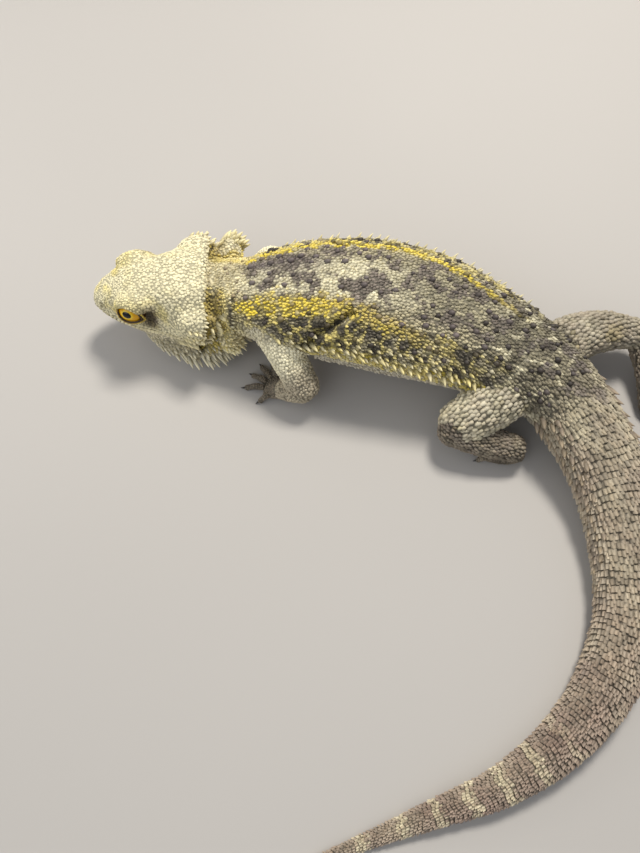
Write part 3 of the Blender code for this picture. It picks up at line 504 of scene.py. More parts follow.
# folds in the skin as paths of body place and degrees, with their width, depth and raised lip
skinFolds = [
    {"path": [(3.7, 8), (3.84, 14), (4.07, 35), (4.38, 44), (4.67, 55), (4.96, 65)], "width": 2.0, "depth": 4.4,
     "lip": 1.8},
    {"path": [(3.3, -8), (3.5, 8), (3.9, 20), (4.3, 22)], "width": 1.2, "depth": 1.2, "lip": 0.4},
    {"path": [(4.6, -12), (5.4, -6), (6.4, -8), (7.2, -14)], "width": 1.6, "depth": 0.8, "lip": 0.4},
    {"path": [(1.0, -30), (0.85, 30), (0.8, 60)], "width": 1.6, "depth": 0.8, "lip": 0.4},
    {"path": [(3.7, 170), (3.96, 154), (4.31, 138), (4.7, 128)], "width": 1.5, "depth": 1.6, "lip": 0.7}]
# the skull's rear rim, left to right, in the head's frame
headEdge = [(12.2, 24.2, -8.9), (8.0, 25.0, -2.6), (5.2, 23.7, 4.1), (4.1, 20.4, 7.1), (4.3, 16.2, 8.3),
            (4.1, 11.6, 10.6), (3.5, 5.5, 12.5), (3.1, 0.6, 12.2), (2.8, -5.8, 12.0), (3.2, -13.9, 8.3),
            (3.2, -19.8, 6.8), (4.6, -23.6, 3.6), (8.0, -25.0, -2.6), (12.2, -24.2, -8.9)]
headFolds = [
    {"path": [(x - 2.6, y, z) for x, y, z in headEdge], "ahead": 0.8, "behind": 3.8,
     "depth": [2.8, 3.6, 4.2, 4.0, 3.4, 2.4, 1.5, 1.2, 1.2, 1.6, 2.4, 3.6, 3.4, 2.8], "lip": 1.1},
    {"path": [(-7.7, 23.8, -0.9), (-8.4, 19.7, 6.1), (-8.4, 14.8, 10.8), (-7.4, 8.5, 12.4), (-5.3, 1.3, 12.6),
              (-4.6, -6.6, 11.0), (-5.4, -14.0, 8.0), (-6.4, -19.5, 3.0)], "ahead": 2.0, "behind": 1.1,
     "depth": [-1.4, -1.5, -1.4, -1.0, -0.7, -0.6, -0.7, -0.8], "lip": 0.0}]
eyeHollow = {"spot": (29.2, 14.6, 1.4), "radii": (2.7, 3.4, 5.0), "depth": 1.6}
mouthLine = {"from": 2, "to": 57, "width": 0.8, "depth": 0.9, "lip": 0.25}
# loose skin of the flanks: where it lies, how much it wrinkles, and the crest that runs along each side
wrinkles = {"ends": (-52, 62), "above": 14, "coarse": (7.0, 0.9), "fine": (2.8, 0.35), "sunk": 0.25}
sideCrest = {"ends": (-40, 34), "heights": (16, 32), "middle": 25, "wide": 3.5, "rise": 1.4}


def eyeHollowDepth(inHead, side):  # how deep a point lies in the hollow behind the eye, as a squared distance
    away = (inHead - mirrorY(eyeHollow["spot"], side)) / eyeHollow["radii"]
    return np.sum(away**2, axis=1)


def foldHead(points):  # how far to move each point: a sharp step under the rim, a slope behind it
    inHead, moved = toHead(points), np.zeros(len(points))
    for spec in headFolds:
        marks = np.linspace(0, len(spec["path"]) - 1, 160)
        path = splineAt(np.array(spec["path"], float), marks)
        deep = np.interp(marks, np.arange(len(spec["depth"])), spec["depth"])
        tree = kdOf(path)
        for i in np.nonzero((inHead[:, 0] > -18) & (inHead[:, 0] < 18) & (inHead[:, 2] > -16))[0]:
            _, k, far = tree.find(inHead[i])
            behind = inHead[i, 0] < path[k, 0]
            moved[i] -= deep[k] * math.exp(-((far / spec["behind" if behind else "ahead"]) ** 2))
            if not behind:
                moved[i] += spec["lip"] * math.exp(-(((far - 2.2) / 1.1) ** 2))
    for side, _ in bothSides:
        moved -= eyeHollow["depth"] * np.exp(-eyeHollowDepth(inHead, side))
    return moved


def besideMouth(x, height, side, count, grow=0.0):  # the head's outline at x, read at a height on one side
    ring = headRing(x, count, grow)
    flank = ring[ring[:, 1] * side > 0]
    return flank[np.argmin(np.abs(flank[:, 2] - height))]


def foldSkin(skin):
    points = fromWorld(meshPoints(skin.data))
    normals = np.empty(len(skin.data.vertices) * 3)
    skin.data.vertices.foreach_get("normal", normals)
    normals = normals.reshape(-1, 3)
    moved = np.zeros(len(points))
    for side, _ in bothSides:
        lip = [besideMouth(x, mouthHeight(x)[0], side, 120) for x in np.linspace(mouthLine["from"], mouthLine["to"], 240)]
        moved += grooveAlong(points, fromHead(np.array(lip)), *(mouthLine[k] for k in ("width", "depth", "lip")))
    for spec in skinFolds:
        marks = splineAt(np.array(spec["path"], float), np.linspace(0, len(spec["path"]) - 1, 60))
        path = trunkSurface(marks[:, 0], np.radians(marks[:, 1]))[0]
        moved += grooveAlong(points, path, spec["width"], spec["depth"], spec["lip"])
    moved += foldHead(points)
    x, _, z = points.T
    upward = normals[:, 2]
    flank = (((x > wrinkles["ends"][0]) & (x < wrinkles["ends"][1]) & (z > wrinkles["above"]))
             * eased(upward, -0.3, 0.1) * falling(upward, 0.75, 0.95))
    crest = ((x > sideCrest["ends"][0]) & (x < sideCrest["ends"][1])
             & (z > sideCrest["heights"][0]) & (z < sideCrest["heights"][1]))
    moved += sideCrest["rise"] * crest * hump(z, sideCrest["middle"], sideCrest["wide"]) * eased(-upward, -0.1, 0.3)
    (coarse, much), (fine, little) = wrinkles["coarse"], wrinkles["fine"]
    for i in np.nonzero(flank > 0.02)[0]:
        p = Vector(points[i])
        moved[i] += flank[i] * (much * abs(noise.noise(p / coarse)) + little * noise.noise(p / fine)
                                - wrinkles["sunk"])
    points += normals * moved[:, None]
    skin.data.vertices.foreach_set("co", toWorld(points).ravel())
    skin.data.update()


foldSkin(skin)
cutters, balls = [], []  # two cuts, because a cut's own pieces mustn't overlap
for side, label in bothSides:
    cutters.append(almondCutter(label))
    balls.append(eyeBall("ball", side, 0.12))
    cutters.append(ellipsoidMesh("ear", mirrorY(head["ear"][0], side), head["ear"][1], 28, 18))
    cutters.append(ellipsoidMesh("nostril", mirrorY(head["nostril"], side), (1.3, 1.5, 0.9), 20, 12))
for group in (cutters, balls):
    cutWith(skin, [moveMesh(moveMesh(mesh, fromHead), toWorld) for mesh in group])
skin.data = joinMeshes("skin", [inOrder(skin.data), moveMesh(joinMeshes("toes", toeForms()), toWorld)])
floorTrim(skin.data)
skin.data.shade_smooth()
print("skin cut:", len(skin.data.vertices), "points", len(skin.data.polygons), "faces")


# each root of a scale is a row: part of the body, place along it, turn round it, spacing, spot, way out, lie
partNames = ["head", "beard", "trunk", "tail", "arm", "leg", "paw"]
scaleSpacing = {
    "head": ([-3, 18, 34, 46, 56], [1.3, 1.22, 1.08, 0.92, 0.8]), "beard": 1.55,
    "trunk": ([0, 1.5, 3, 9, 11], [1.2, 1.25, 1.35, 1.5, 1.75]),
    "tail": ([10, 12, 14, 15.5, 17, 20], [1.8, 1.9, 1.7, 1.3, 1.0, 0.75]),
    "upper_arm": 1.35, "forearm": 1.2, "thigh": 2.1, "shank": 1.6, "paw": 1.0, "toe": 0.95}
rowStep = {"head": 0.88, "beard": 1.0, "trunk": 0.88, "tail": 1.75, "arm": 0.9, "leg": 0.9, "paw": 0.9}
rowWave = {"tail": 0.8, "trunk": 0.35}  # how far a row strays along the body, in millimetres


def evenRing(points, spacing, shift):  # indices of a closed ring's points that lie an even step apart
    steps = np.linalg.norm(np.roll(points, -1, axis=0) - points, axis=1)
    along = np.concatenate([[0.0], np.cumsum(steps)])
    count = max(4, round(along[-1] / spacing))
    marks = (np.arange(count) + shift + rng.uniform(-0.12, 0.12, count)) / count * along[-1]
    return np.searchsorted(along, marks % along[-1], side="right") - 1


def rowRoots(surface, part, first, last, spacing, mark):  # rows of roots, each row staggered
    found = []
    turns = np.arange(360) * math.tau / 360
    place, odd = first, 0
    while place <= last:
        gap = spacing(place) if callable(spacing) else spacing
        spots, out, lie = surface(place, turns)
        chosen = evenRing(spots, gap, 0.5 * odd if part != "tail" else 0.3 * noise.noise(Vector((3 * place, 0, 0))))
        count = len(chosen)
        found.append(np.column_stack([
            np.full(count, partNames.index(part)), np.full(count, mark + place), np.degrees(turns[chosen]),
            np.full(count, gap), spots[chosen], out[chosen], lie[chosen]]))
        ahead = surface(place + 0.01, turns)[0]
        step = max(np.linalg.norm(ahead - spots, axis=1).mean(), 1e-4) / 0.01
        if part in rowWave:
            bends = np.array([noise.noise(Vector((math.cos(a) * 1.6, math.sin(a) * 1.6, 1.3 * place)))
                              for a in turns[chosen]])
            found[-1][:, 4:7] += found[-1][:, 10:13] * (bends * 2 * rowWave[part])[:, None]
        place += gap * rowStep[part] / step
        odd = 1 - odd
    return np.vstack(found)


def headSurface(x, turns):  # the ring from the top round by the left; its lie runs back to the nape
    here, ahead = headRing(x, len(turns)), headRing(x + 0.2, len(turns))
    along = unit(here - ahead)
    round_ = unit(np.roll(here, -1, axis=0) - np.roll(here, 1, axis=0))
    out = unit(np.cross(round_, along))
    out *= np.sign(np.sum(out * (here - here.mean(axis=0)), axis=1, keepdims=True))
    return fromHead(here), out @ headAxes.T, along @ headAxes.T


def pouchSurface(lift, turns):
    (bx, by, bz), (brx, bry, brz), rear = head["beard"]
    flat = math.sqrt(max(1 - lift**2, 0.01))
    x, y = np.cos(turns), np.sin(turns)
    reach = np.where(x < 0, rear, brx)
    spots = np.column_stack([bx + reach * flat * x, bry * flat * y, np.full(len(turns), bz + brz * lift)])
    out = unit(np.column_stack([x / reach * flat, y / bry * flat, np.full(len(turns), lift / brz)]))
    lie = unit(np.column_stack([-0.8 + 0 * x, 0.5 * y, -0.3 + 0 * x]))
    return fromHead(spots), out @ headAxes.T, lie @ headAxes.T


def allRoots():
    def table(key):
        marks, sizes = scaleSpacing[key]
        return lambda place: float(np.interp(place, marks, sizes))

    def trunkAt(place, turns):
        return trunkSurface(np.full(len(turns), place), turns)

    def limbAt(shape, grow=0.0):
        return lambda place, turns: limbSurface(shape, np.full(len(turns), place), turns, grow)
    rows = [rowRoots(headSurface, "head", -2.5, 56.2, table("head"), 0),
            rowRoots(pouchSurface, "beard", -0.97, 0.6, scaleSpacing["beard"], 0),
            rowRoots(trunkAt, "trunk", 0.2, 10.6, table("trunk"), 0),
            rowRoots(trunkAt, "tail", 10.6, 19.9, table("tail"), 0)]
    for number, (name, shape) in enumerate(limbs.items()):
        part, spacing = "arm" if "arm" in name else "leg", scaleSpacing[name.rsplit("_", 1)[0]]
        rows.append(rowRoots(limbAt(shape), part, 0.0, len(shape) - 1, spacing, 10 * number))
    for number, spec in enumerate(paws.values()):
        rows.append(rowRoots(limbAt(spec["sole"]), "paw", 0.2, 2.0, scaleSpacing["paw"], 100 * number))
        for finger, ends in enumerate(spec["toes"], 1):
            rows.append(rowRoots(limbAt(toePath(*ends), -0.1), "paw", 0.1, 1.95, scaleSpacing["toe"],
                                 100 * number + 10 * finger))
    return np.vstack(rows)


skinTree = BVHTree.FromObject(skin, bpy.context.evaluated_depsgraph_get())


def onSkin(spots):  # the nearest places of the skin, their way out, and how far off they were, in millimetres
    found, outs, far = np.zeros((len(spots), 3)), np.zeros((len(spots), 3)), np.full(len(spots), 99.0)
    for i, spot in enumerate(toWorld(spots)):
        near, out, _, distance = skinTree.find_nearest(spot)
        if near is not None:
            found[i], outs[i], far[i] = near, out, distance / mm
    return fromWorld(found), outs, far


def scatterOnSkin(count):  # random places of the skin, even by area
    mesh = skin.data
    mesh.calc_loop_triangles()
    corners = np.empty(len(mesh.loop_triangles) * 3, np.int32)
    mesh.loop_triangles.foreach_get("vertices", corners)
    a, b, c = meshPoints(mesh)[corners.reshape(-1, 3)].transpose(1, 0, 2)
    across = np.cross(b - a, c - a)
    area = np.linalg.norm(across, axis=1)
    picked = rng.choice(len(area), count, p=area / area.sum())
    u, v = rng.random(count), rng.random(count)
    over = u + v > 1
    u[over], v[over] = 1 - u[over], 1 - v[over]
    spots = a[picked] + (b - a)[picked] * u[:, None] + (c - a)[picked] * v[:, None]
    return fromWorld(spots), unit(across[picked])


def eyeReach(label, points):  # how far out of the eye's opening a point lies: under 1 is inside it
    centre, out, ahead, up = eyeAxes[label]
    away = toHead(points) - centre
    x, y, deep = away @ ahead / lidShape["long"], away @ up, away @ out
    x = np.where(x < 0, x / lidShape["behind"], x)
    tall = np.where(y > 0, lidShape["upper"], lidShape["lower"])
    reach = np.sqrt(x**2 + (y / tall) ** 2)
    return np.where(deep > 0, reach, 99.0), np.linalg.norm(away, axis=1)


# what ordinary scales keep clear of, in millimetres or in shares of a hollow's own radii
clearing = {"floor": 0.45, "lid": 1.12, "nostril": 1.75, "ear": 1.05, "lips": 1.35, "mouthCorner": 3.0}
# stray: how far a scale strays from its row, in spacings, by part; a filler closes what the rows leave open
planting = {"stray": (0.25, 0.12, 0.24, 0.10, 0.2, 0.12, 0.12), "offSkin": 1.25, "facing": 0.5, "fillers": 140000,
            "headRows": 0.25, "lidSpacing": 0.62, "lidGrowth": 0.09, "lidEdge": 5.2, "lidReach": 11,
            "rowGap": 0.66, "fillerGap": 0.84, "search": 0.86}


def keepClear(points):  # True where ordinary scales may grow
    inHead = toHead(points)
    clear = toWorld(points)[:, 2] > clearing["floor"] * mm
    for side, label in bothSides:
        clear &= eyeReach(label, points)[0] > clearing["lid"]
        clear &= np.linalg.norm(inHead - mirrorY(head["nostril"], side), axis=1) > clearing["nostril"]
        ear = (inHead - mirrorY(head["ear"][0], side)) / head["ear"][1]
        clear &= np.linalg.norm(ear, axis=1) > clearing["ear"]
    x, marks = inHead[:, 0], np.linspace(-12, 60, 200)
    lips = np.array([mouthHeight(v)[0] for v in marks])
    off = np.abs(inHead[:, 2] - np.interp(x, marks, lips))
    return clear & ~((x > clearing["mouthCorner"]) & (off < clearing["lips"]))


def plantScales():
    rows = allRoots()
    stray = (np.array(planting["stray"])[rows[:, 0].astype(int)] * rows[:, 3])[:, None]
    across = np.cross(rows[:, 7:10], rows[:, 10:13])
    along, sideways = ((stray[:, 0] * rng.normal(0, 1, len(rows)))[:, None] for _ in range(2))
    rows[:, 4:7] += rows[:, 10:13] * along + across * sideways
    spots, outs, far = onSkin(rows[:, 4:7])
    facing = np.sum(outs * rows[:, 7:10], axis=1)
    kept = ((far < planting["offSkin"]) & (facing > planting["facing"]) & keepClear(spots)
            & ((rows[:, 0] != 0) | (rng.random(len(rows)) < planting["headRows"])))
    laid = np.column_stack([rows[:, :4], spots, outs, rows[:, 10:13]])[kept]
    guide = kdOf(rows[:, 4:7])
    extra, extraOut = scatterOnSkin(planting["fillers"])
    nearest = np.array([guide.find(p)[1] for p in extra])
    filled = np.column_stack([rows[nearest, :4], extra, extraOut, rows[nearest, 10:13]])[keepClear(extra)]
    every = np.vstack([laid, filled])
    for _, label in bothSides:  # the finest scales lie round the lids
        away = eyeReach(label, every[:, 4:7])[1]
        close = (every[:, 0] == 0) & (away < planting["lidReach"])
        finest = planting["lidSpacing"] + planting["lidGrowth"] * np.maximum(away[close] - planting["lidEdge"], 0)
        every[close, 3] = np.minimum(every[close, 3], finest)
    tree = kdOf(every[:, 4:7])
    alive = np.ones(len(every), bool)
    for i in range(len(every)):
        if not alive[i]:
            continue
        gap = every[i, 3]
        for _, j, distance in tree.find_range(every[i, 4:7], planting["search"] * gap):
            if j > i and distance < gap * planting["rowGap" if j < len(laid) else "fillerGap"]:
                alive[j] = False
    return every[alive]


roots = plantScales()
print("scale roots:", len(roots), {n: int((roots[:, 0] == k).sum()) for k, n in enumerate(partNames)})


class Wire:  # a socket that can be used in Python sums; each sum adds its Math node
    def __init__(self, net, socket):
        self.net, self.socket = net, socket

    def sum(self, operation, *others, clamp=False):
        node = self.net.add("ShaderNodeMath", {"operation": operation, "use_clamp": clamp},
                            {k: v for k, v in enumerate((self, *others))})
        return Wire(self.net, node.outputs[0])

    def turned(self, operation, other):
        node = self.net.add("ShaderNodeMath", {"operation": operation}, {0: other, 1: self})
        return Wire(self.net, node.outputs[0])

    def __add__(self, other):
        return self.sum("ADD", other)

    def __sub__(self, other):
        return self.sum("SUBTRACT", other)

    def __mul__(self, other):
        return self.sum("MULTIPLY", other)

    def __truediv__(self, other):
        return self.sum("DIVIDE", other)

    def __pow__(self, other):
        return self.sum("POWER", other)

    def __radd__(self, other):
        return self.turned("ADD", other)

    def __rsub__(self, other):
        return self.turned("SUBTRACT", other)

    def __rmul__(self, other):
        return self.turned("MULTIPLY", other)

    def __rtruediv__(self, other):
        return self.turned("DIVIDE", other)

    def clamped(self):
        return self.sum("ADD", 0.0, clamp=True)

    def between(self, low, high):  # 0 at low, 1 at high, eased
        node = self.net.add("ShaderNodeMapRange", {"interpolation_type": "SMOOTHSTEP"}, {0: self, 1: low, 2: high})
        return Wire(self.net, node.outputs[0])


class Net:  # a node tree under construction
    def __init__(self, tree):
        self.tree = tree

    def add(self, kind, settings=None, inputs=None):
        node = self.tree.nodes.new(kind)
        for name, value in (settings or {}).items():
            if name == "stops":
                for k, (place, colour) in enumerate(value):
                    stop = node.color_ramp.elements[k] if k < 2 else node.color_ramp.elements.new(place)
                    stop.position, stop.color = place, (*colour, 1.0)
            else:
                setattr(node, name, value)
        for name, value in (inputs or {}).items():
            socket = node.inputs[name]
            if isinstance(value, Wire):
                self.tree.links.new(value.socket, socket)
            elif isinstance(value, bpy.types.NodeSocket):
                self.tree.links.new(value, socket)
            else:
                socket.default_value = value
        return node

    def out(self, kind, settings=None, inputs=None, output=0):
        return Wire(self, self.add(kind, settings, inputs).outputs[output])

    def mixed(self, first, second, share, blend="MIX"):
        first, second = ((*c, 1.0) if isinstance(c, tuple) and len(c) == 3 else c for c in (first, second))
        return self.out("ShaderNodeMix", {"data_type": "RGBA", "blend_type": blend, "clamp_factor": True},
                        {0: share, 6: first, 7: second}, 2)

    def attribute(self, name):
        return self.out("ShaderNodeAttribute", {"attribute_name": name}, {}, 2)

    def spot(self):  # the place on the object, in metres
        return self.add("ShaderNodeTexCoord").outputs["Object"]


# one scale or spine lies along x with its rear at +x, its root at z 0
def prototype(name, rings, tops):  # rings of (x, y, z) from root to top, then one or two top points
    verts, count = [p for ring in rings for p in ring], len(rings[0])
    faces = [(k * count + i, k * count + (i + 1) % count, (k + 1) * count + (i + 1) % count, (k + 1) * count + i)
             for k in range(len(rings) - 1) for i in range(count)]
    last, first = (len(rings) - 1) * count, len(verts)
    verts += tops
    nearest = [min(range(len(tops)), key=lambda t: math.dist(tops[t][:2], verts[last + i][:2])) for i in range(count)]
    for i in range(count):
        j = (i + 1) % count
        here, there = nearest[i], nearest[j]
        faces.append((last + i, last + j, first + here) if here == there
                     else (last + i, last + j, first + there, first + here))
    faces.append(tuple(range(count))[::-1])
    mesh = bpy.data.meshes.new(name)
    mesh.from_pydata(verts, [], faces)
    spots = np.array(verts)
    heights = spots[:, 2]
    crown = mesh.attributes.new("crown", "FLOAT", "POINT")
    crown.data.foreach_set("value", np.clip(heights / heights.max(), 0, 1))
    patch = mesh.attributes.new("patch", "FLOAT_VECTOR", "POINT")
    flat = np.column_stack([spots[:, :2] / np.ptp(spots, axis=0).max(), 0 * heights])
    patch.data.foreach_set("vector", flat.ravel())
    return addPiece(name, mesh)


def circleRing(count, radius, z, lean=0.0):
    turns = [math.tau * (k + 0.5) / count for k in range(count)]
    return [(lean + radius * math.cos(a), radius * math.sin(a), z) for a in turns]


def leafRing(count, long, wide, z, lean=0.0):  # blunt in front, drawn out to a point behind
    turns = [math.tau * k / count for k in range(count)]
    return [(lean + long * (x if x < 0.6 else x * 1.25), wide * math.sin(a) * (1.0 - 0.18 * x), z)
            for a, x in ((a, math.cos(a)) for a in turns)]


def outlineRing(outline, z, long=0.5, wide=0.5):
    return [(x * long, y * wide, z) for x, y in outline]


blockOutline = ((-0.96, -0.5), (-0.8, -0.96), (0.7, -1), (0.9, -0.6), (0.9, 0.6), (0.7, 1), (-0.8, 0.96), (-0.96, 0.5))
plateOutline = ((-1, -0.8), (-0.8, -1), (0.8, -1), (1, -0.8), (1, 0.8), (0.8, 1), (-0.8, 1), (-1, 0.8))
# rounds are rings of count, radius, height and lean; leaves of count, length, width, height and lean
shapeForms = {
    "pebble": (circleRing, ((8, 0.5, -0.7), (8, 0.49, 0.2), (8, 0.41, 0.66), (8, 0.24, 0.92)), [(0, 0, 1.0)]),
    "granule": (circleRing, ((6, 0.5, -0.6), (6, 0.45, 0.4)), [(0.06, 0, 1.0)]),
    "keeled": (leafRing, ((6, 0.5, 0.5, -0.6), (6, 0.5, 0.47, 0.25, 0.03)), [(-0.22, 0, 0.7), (0.5, 0, 1.0)]),
    "shield": (leafRing, ((8, 0.5, 0.5, -0.6), (8, 0.52, 0.48, 0.3, 0.04), (8, 0.3, 0.26, 0.85, 0.08)),
               [(0.12, 0, 1.0)]),
    "tubercle": (circleRing, ((8, 0.5, -0.4), (8, 0.46, 0.25, 0.02), (8, 0.26, 0.7, 0.1)), [(0.24, 0, 1.0)]),
    "spike": (circleRing, ((8, 1.0, -0.2, -0.04), (8, 0.92, 0.1), (8, 0.62, 0.4, 0.03), (8, 0.3, 0.74, 0.1)),
              [(0.2, 0, 1.0)]),
    "block": (outlineRing, ((blockOutline, -0.6), (blockOutline, 0.22)), [(-0.32, 0, 0.62), (0.5, 0, 1.0)]),
    "thorn": (circleRing, ((8, 1.0, -0.2, -0.03), (8, 0.96, 0.12), (8, 0.84, 0.42, 0.02), (8, 0.55, 0.75, 0.06),
                           (8, 0.26, 0.93, 0.1)), [(0.13, 0, 1.0)]),
    "plate": (outlineRing, ((plateOutline, -0.8), (plateOutline, 0.5), (plateOutline, 1.0, 0.36, 0.34)),
              [(0, 0, 1.04)])}
shapes = {name: prototype(name, [ring(*sizes) for sizes in rows], tops)
          for name, (ring, rows, tops) in shapeForms.items()}
markNames = ("yellow", "dark", "violet", "pale", "brown", "tone")


def layingTree():  # sets one shape on every point, turned and sized by the point's own attributes
    tree = bpy.data.node_groups.new("lay_scales", "GeometryNodeTree")
    inputs = {"Geometry": "NodeSocketGeometry", "Shape": "NodeSocketObject", "Surface": "NodeSocketMaterial",
              "Patch": "NodeSocketFloat", "Wobble": "NodeSocketFloat", "Seed": "NodeSocketInt"}
    for label, kind in inputs.items():
        tree.interface.new_socket(label, in_out="INPUT", socket_type=kind)
    tree.interface.new_socket("Geometry", in_out="OUTPUT", socket_type="NodeSocketGeometry")
    net = Net(tree)
    given = net.add("NodeGroupInput").outputs

    def named(label):
        return net.add("GeometryNodeInputNamedAttribute", {"data_type": "FLOAT_VECTOR"}, {"Name": label}).outputs[0]

    def scaled(vector, share):
        return net.add("ShaderNodeVectorMath", {"operation": "SCALE"}, {0: vector, "Scale": share}).outputs[0]
    shape = net.add("GeometryNodeObjectInfo", {}, {"Object": given["Shape"]})
    wobble = net.add("FunctionNodeRandomValue", {"data_type": "FLOAT_VECTOR"},
                     {0: scaled((-1.0, -1.0, -1.0), given["Wobble"]), 1: scaled((1.0, 1.0, 1.0), given["Wobble"]),
                      "Seed": given["Seed"]})
    base = net.add("FunctionNodeEulerToRotation", {}, {0: named("turn")})
    extra = net.add("FunctionNodeEulerToRotation", {}, {0: wobble.outputs[0]})
    turn = net.add("FunctionNodeRotateRotation", {"rotation_space": "LOCAL"}, {0: base.outputs[0], 1: extra.outputs[0]})
    laid = net.add("GeometryNodeInstanceOnPoints", {}, {
        "Points": given["Geometry"], "Instance": shape.outputs["Geometry"], "Rotation": turn.outputs[0],
        "Scale": named("size")})
    real = net.add("GeometryNodeRealizeInstances", {}, {0: laid.outputs[0]})
    place = net.add("ShaderNodeVectorMath", {"operation": "ADD"},
                    {0: named("rootPlace"), 1: scaled(named("patch"), given["Patch"])})
    stored = net.add("GeometryNodeStoreNamedAttribute", {"data_type": "FLOAT2", "domain": "CORNER"},
                     {"Geometry": real.outputs[0], "Name": "OFBake", "Value": place.outputs[0]})
    painted = net.add("GeometryNodeSetMaterial", {}, {"Geometry": stored.outputs[0], "Material": given["Surface"]})
    net.add("NodeGroupOutput", {}, {0: painted.outputs[0]})
    return tree


layScales = layingTree()


def turnsOf(lies, outs):  # Euler turns that set x along the lie and z along the way out
    z = unit(outs)
    y = unit(np.cross(z, lies))
    x = np.cross(y, z)
    return np.column_stack([np.arctan2(y[:, 2], z[:, 2]), np.arcsin(np.clip(-x[:, 2], -1, 1)),
                            np.arctan2(x[:, 1], x[:, 0])])


def store(mesh, label, values):  # one value or one vector for each point
    values = np.ascontiguousarray(values, np.float32)
    kind, field = ("FLOAT_VECTOR", "vector") if values.ndim > 1 else ("FLOAT", "value")
    mesh.attributes.new(label, kind, "POINT").data.foreach_set(field, values.ravel())


crispShapes = ("keeled", "block", "shield")  # their keels and rims stay sharp
patchSize = 0.003  # how much of the OFBake map one scale takes


def layPiece(name, shape, spots, outs, lies, sizes, marks, places, material, wobble=0.08):
    mesh = bpy.data.meshes.new(name + "_points")
    mesh.from_pydata([tuple(p) for p in toWorld(spots)], [], [])
    store(mesh, "turn", turnsOf(lies, outs))
    store(mesh, "size", sizes * mm)
    store(mesh, "rootPlace", np.column_stack([places, np.zeros(len(places))]))
    for label in markNames:
        store(mesh, label, marks[label])
    piece = addPiece(name, mesh)
    laying = piece.modifiers.new("lay", "NODES")
    laying.node_group = layScales
    values = {"Shape": shapes[shape], "Surface": material, "Patch": patchSize, "Wobble": wobble, "Seed": len(name)}
    for item in layScales.interface.items_tree:
        if item.in_out == "INPUT" and item.name in values:
            laying[item.identifier] = values[item.name]
    settleModifiers(piece)
    floorTrim(piece.data)
    piece.data.name = name
    for label in ("turn", "size", "rootPlace", "patch"):
        if label in piece.data.attributes:
            piece.data.attributes.remove(piece.data.attributes[label])
    if shape in crispShapes:
        piece.data.shade_flat()
    else:
        piece.data.shade_smooth()
    return piece


def noiseAt(spots, size, offset=0.0):  # smooth noise, about -1 to 1, over a length in millimetres
    shift = Vector((offset, 2 * offset, -offset))
    return np.array([noise.noise(Vector(p) / size + shift) for p in spots])


# the body's yellow stripes as body place and degrees round: where each ends, its middle and how wide it is
stripes = {
    "right": (8.6, [1.4, 2.5, 3.6, 4.3, 4.9, 5.7, 6.4, 7.2, 8.2, 9.1],
              [118, 127, 130, 134, 132, 133, 130, 121, 114, 110], [7, 7, 6, 6, 6, 6, 6, 5, 4, 4]),
    "left": (7.3, [1.4, 1.8, 2.9, 3.6, 4.4, 5.1, 6.0, 6.8, 7.4], [44, 50, 61, 64, 68, 65, 58, 50, 44],
             [10, 13, 14, 13, 9, 8, 9, 7, 5])}
# patterns of noise: how long its waves are in millimetres, and a shift that makes each its own
patterns = {"coarse": (11.0, 0.0), "middle": (5.0, 3.0), "fine": (2.2, 7.0), "holes": (3.2, 23.0),
            "blotches": (6.5, 11.0), "net": (5.0, 19.0), "web": (7.0, 31.0)}


class Marks:  # how strongly each colour of the coat shows on every scale, from 0 to 1
    def __init__(self, count):
        self.of = {n: np.zeros(count) for n in markNames}

    def lift(self, **shares):  # at least this much
        for name, share in shares.items():
            self.of[name] = np.maximum(self.of[name], share)

    def fade(self, **shares):  # less by this share
        for name, share in shares.items():
            self.of[name] = self.of[name] * (1 - share)

    def paint(self, where, **shares):  # just this much on one part of the body
        for name, share in shares.items():
            self.of[name] = np.where(where, share, self.of[name])


def markings(part, place, turn, spots):
    on = {n: part == k for k, n in enumerate(partNames)}
    marks = Marks(len(part))
    coarse, middle, fine = (noiseAt(spots, *patterns[n]) for n in ("coarse", "middle", "fine"))
    marks.of["tone"] = rng.uniform(-1, 1, len(part))
    fleck = rng.uniform(-1, 1, len(part))
    body = on["trunk"] | on["tail"]
    trunkMarks(marks, on, body, np.where(body, place, 0.0), turn, spots, coarse, middle, fine, fleck)
    headMarks(marks, on, toHead(spots), coarse, middle, fine, fleck)
    limbMarks(marks, on, place, coarse, middle, fine, fleck)
    for name in ("yellow", "dark", "violet", "pale", "brown"):
        marks.of[name] = np.clip(marks.of[name], 0, 1)
    return marks.of


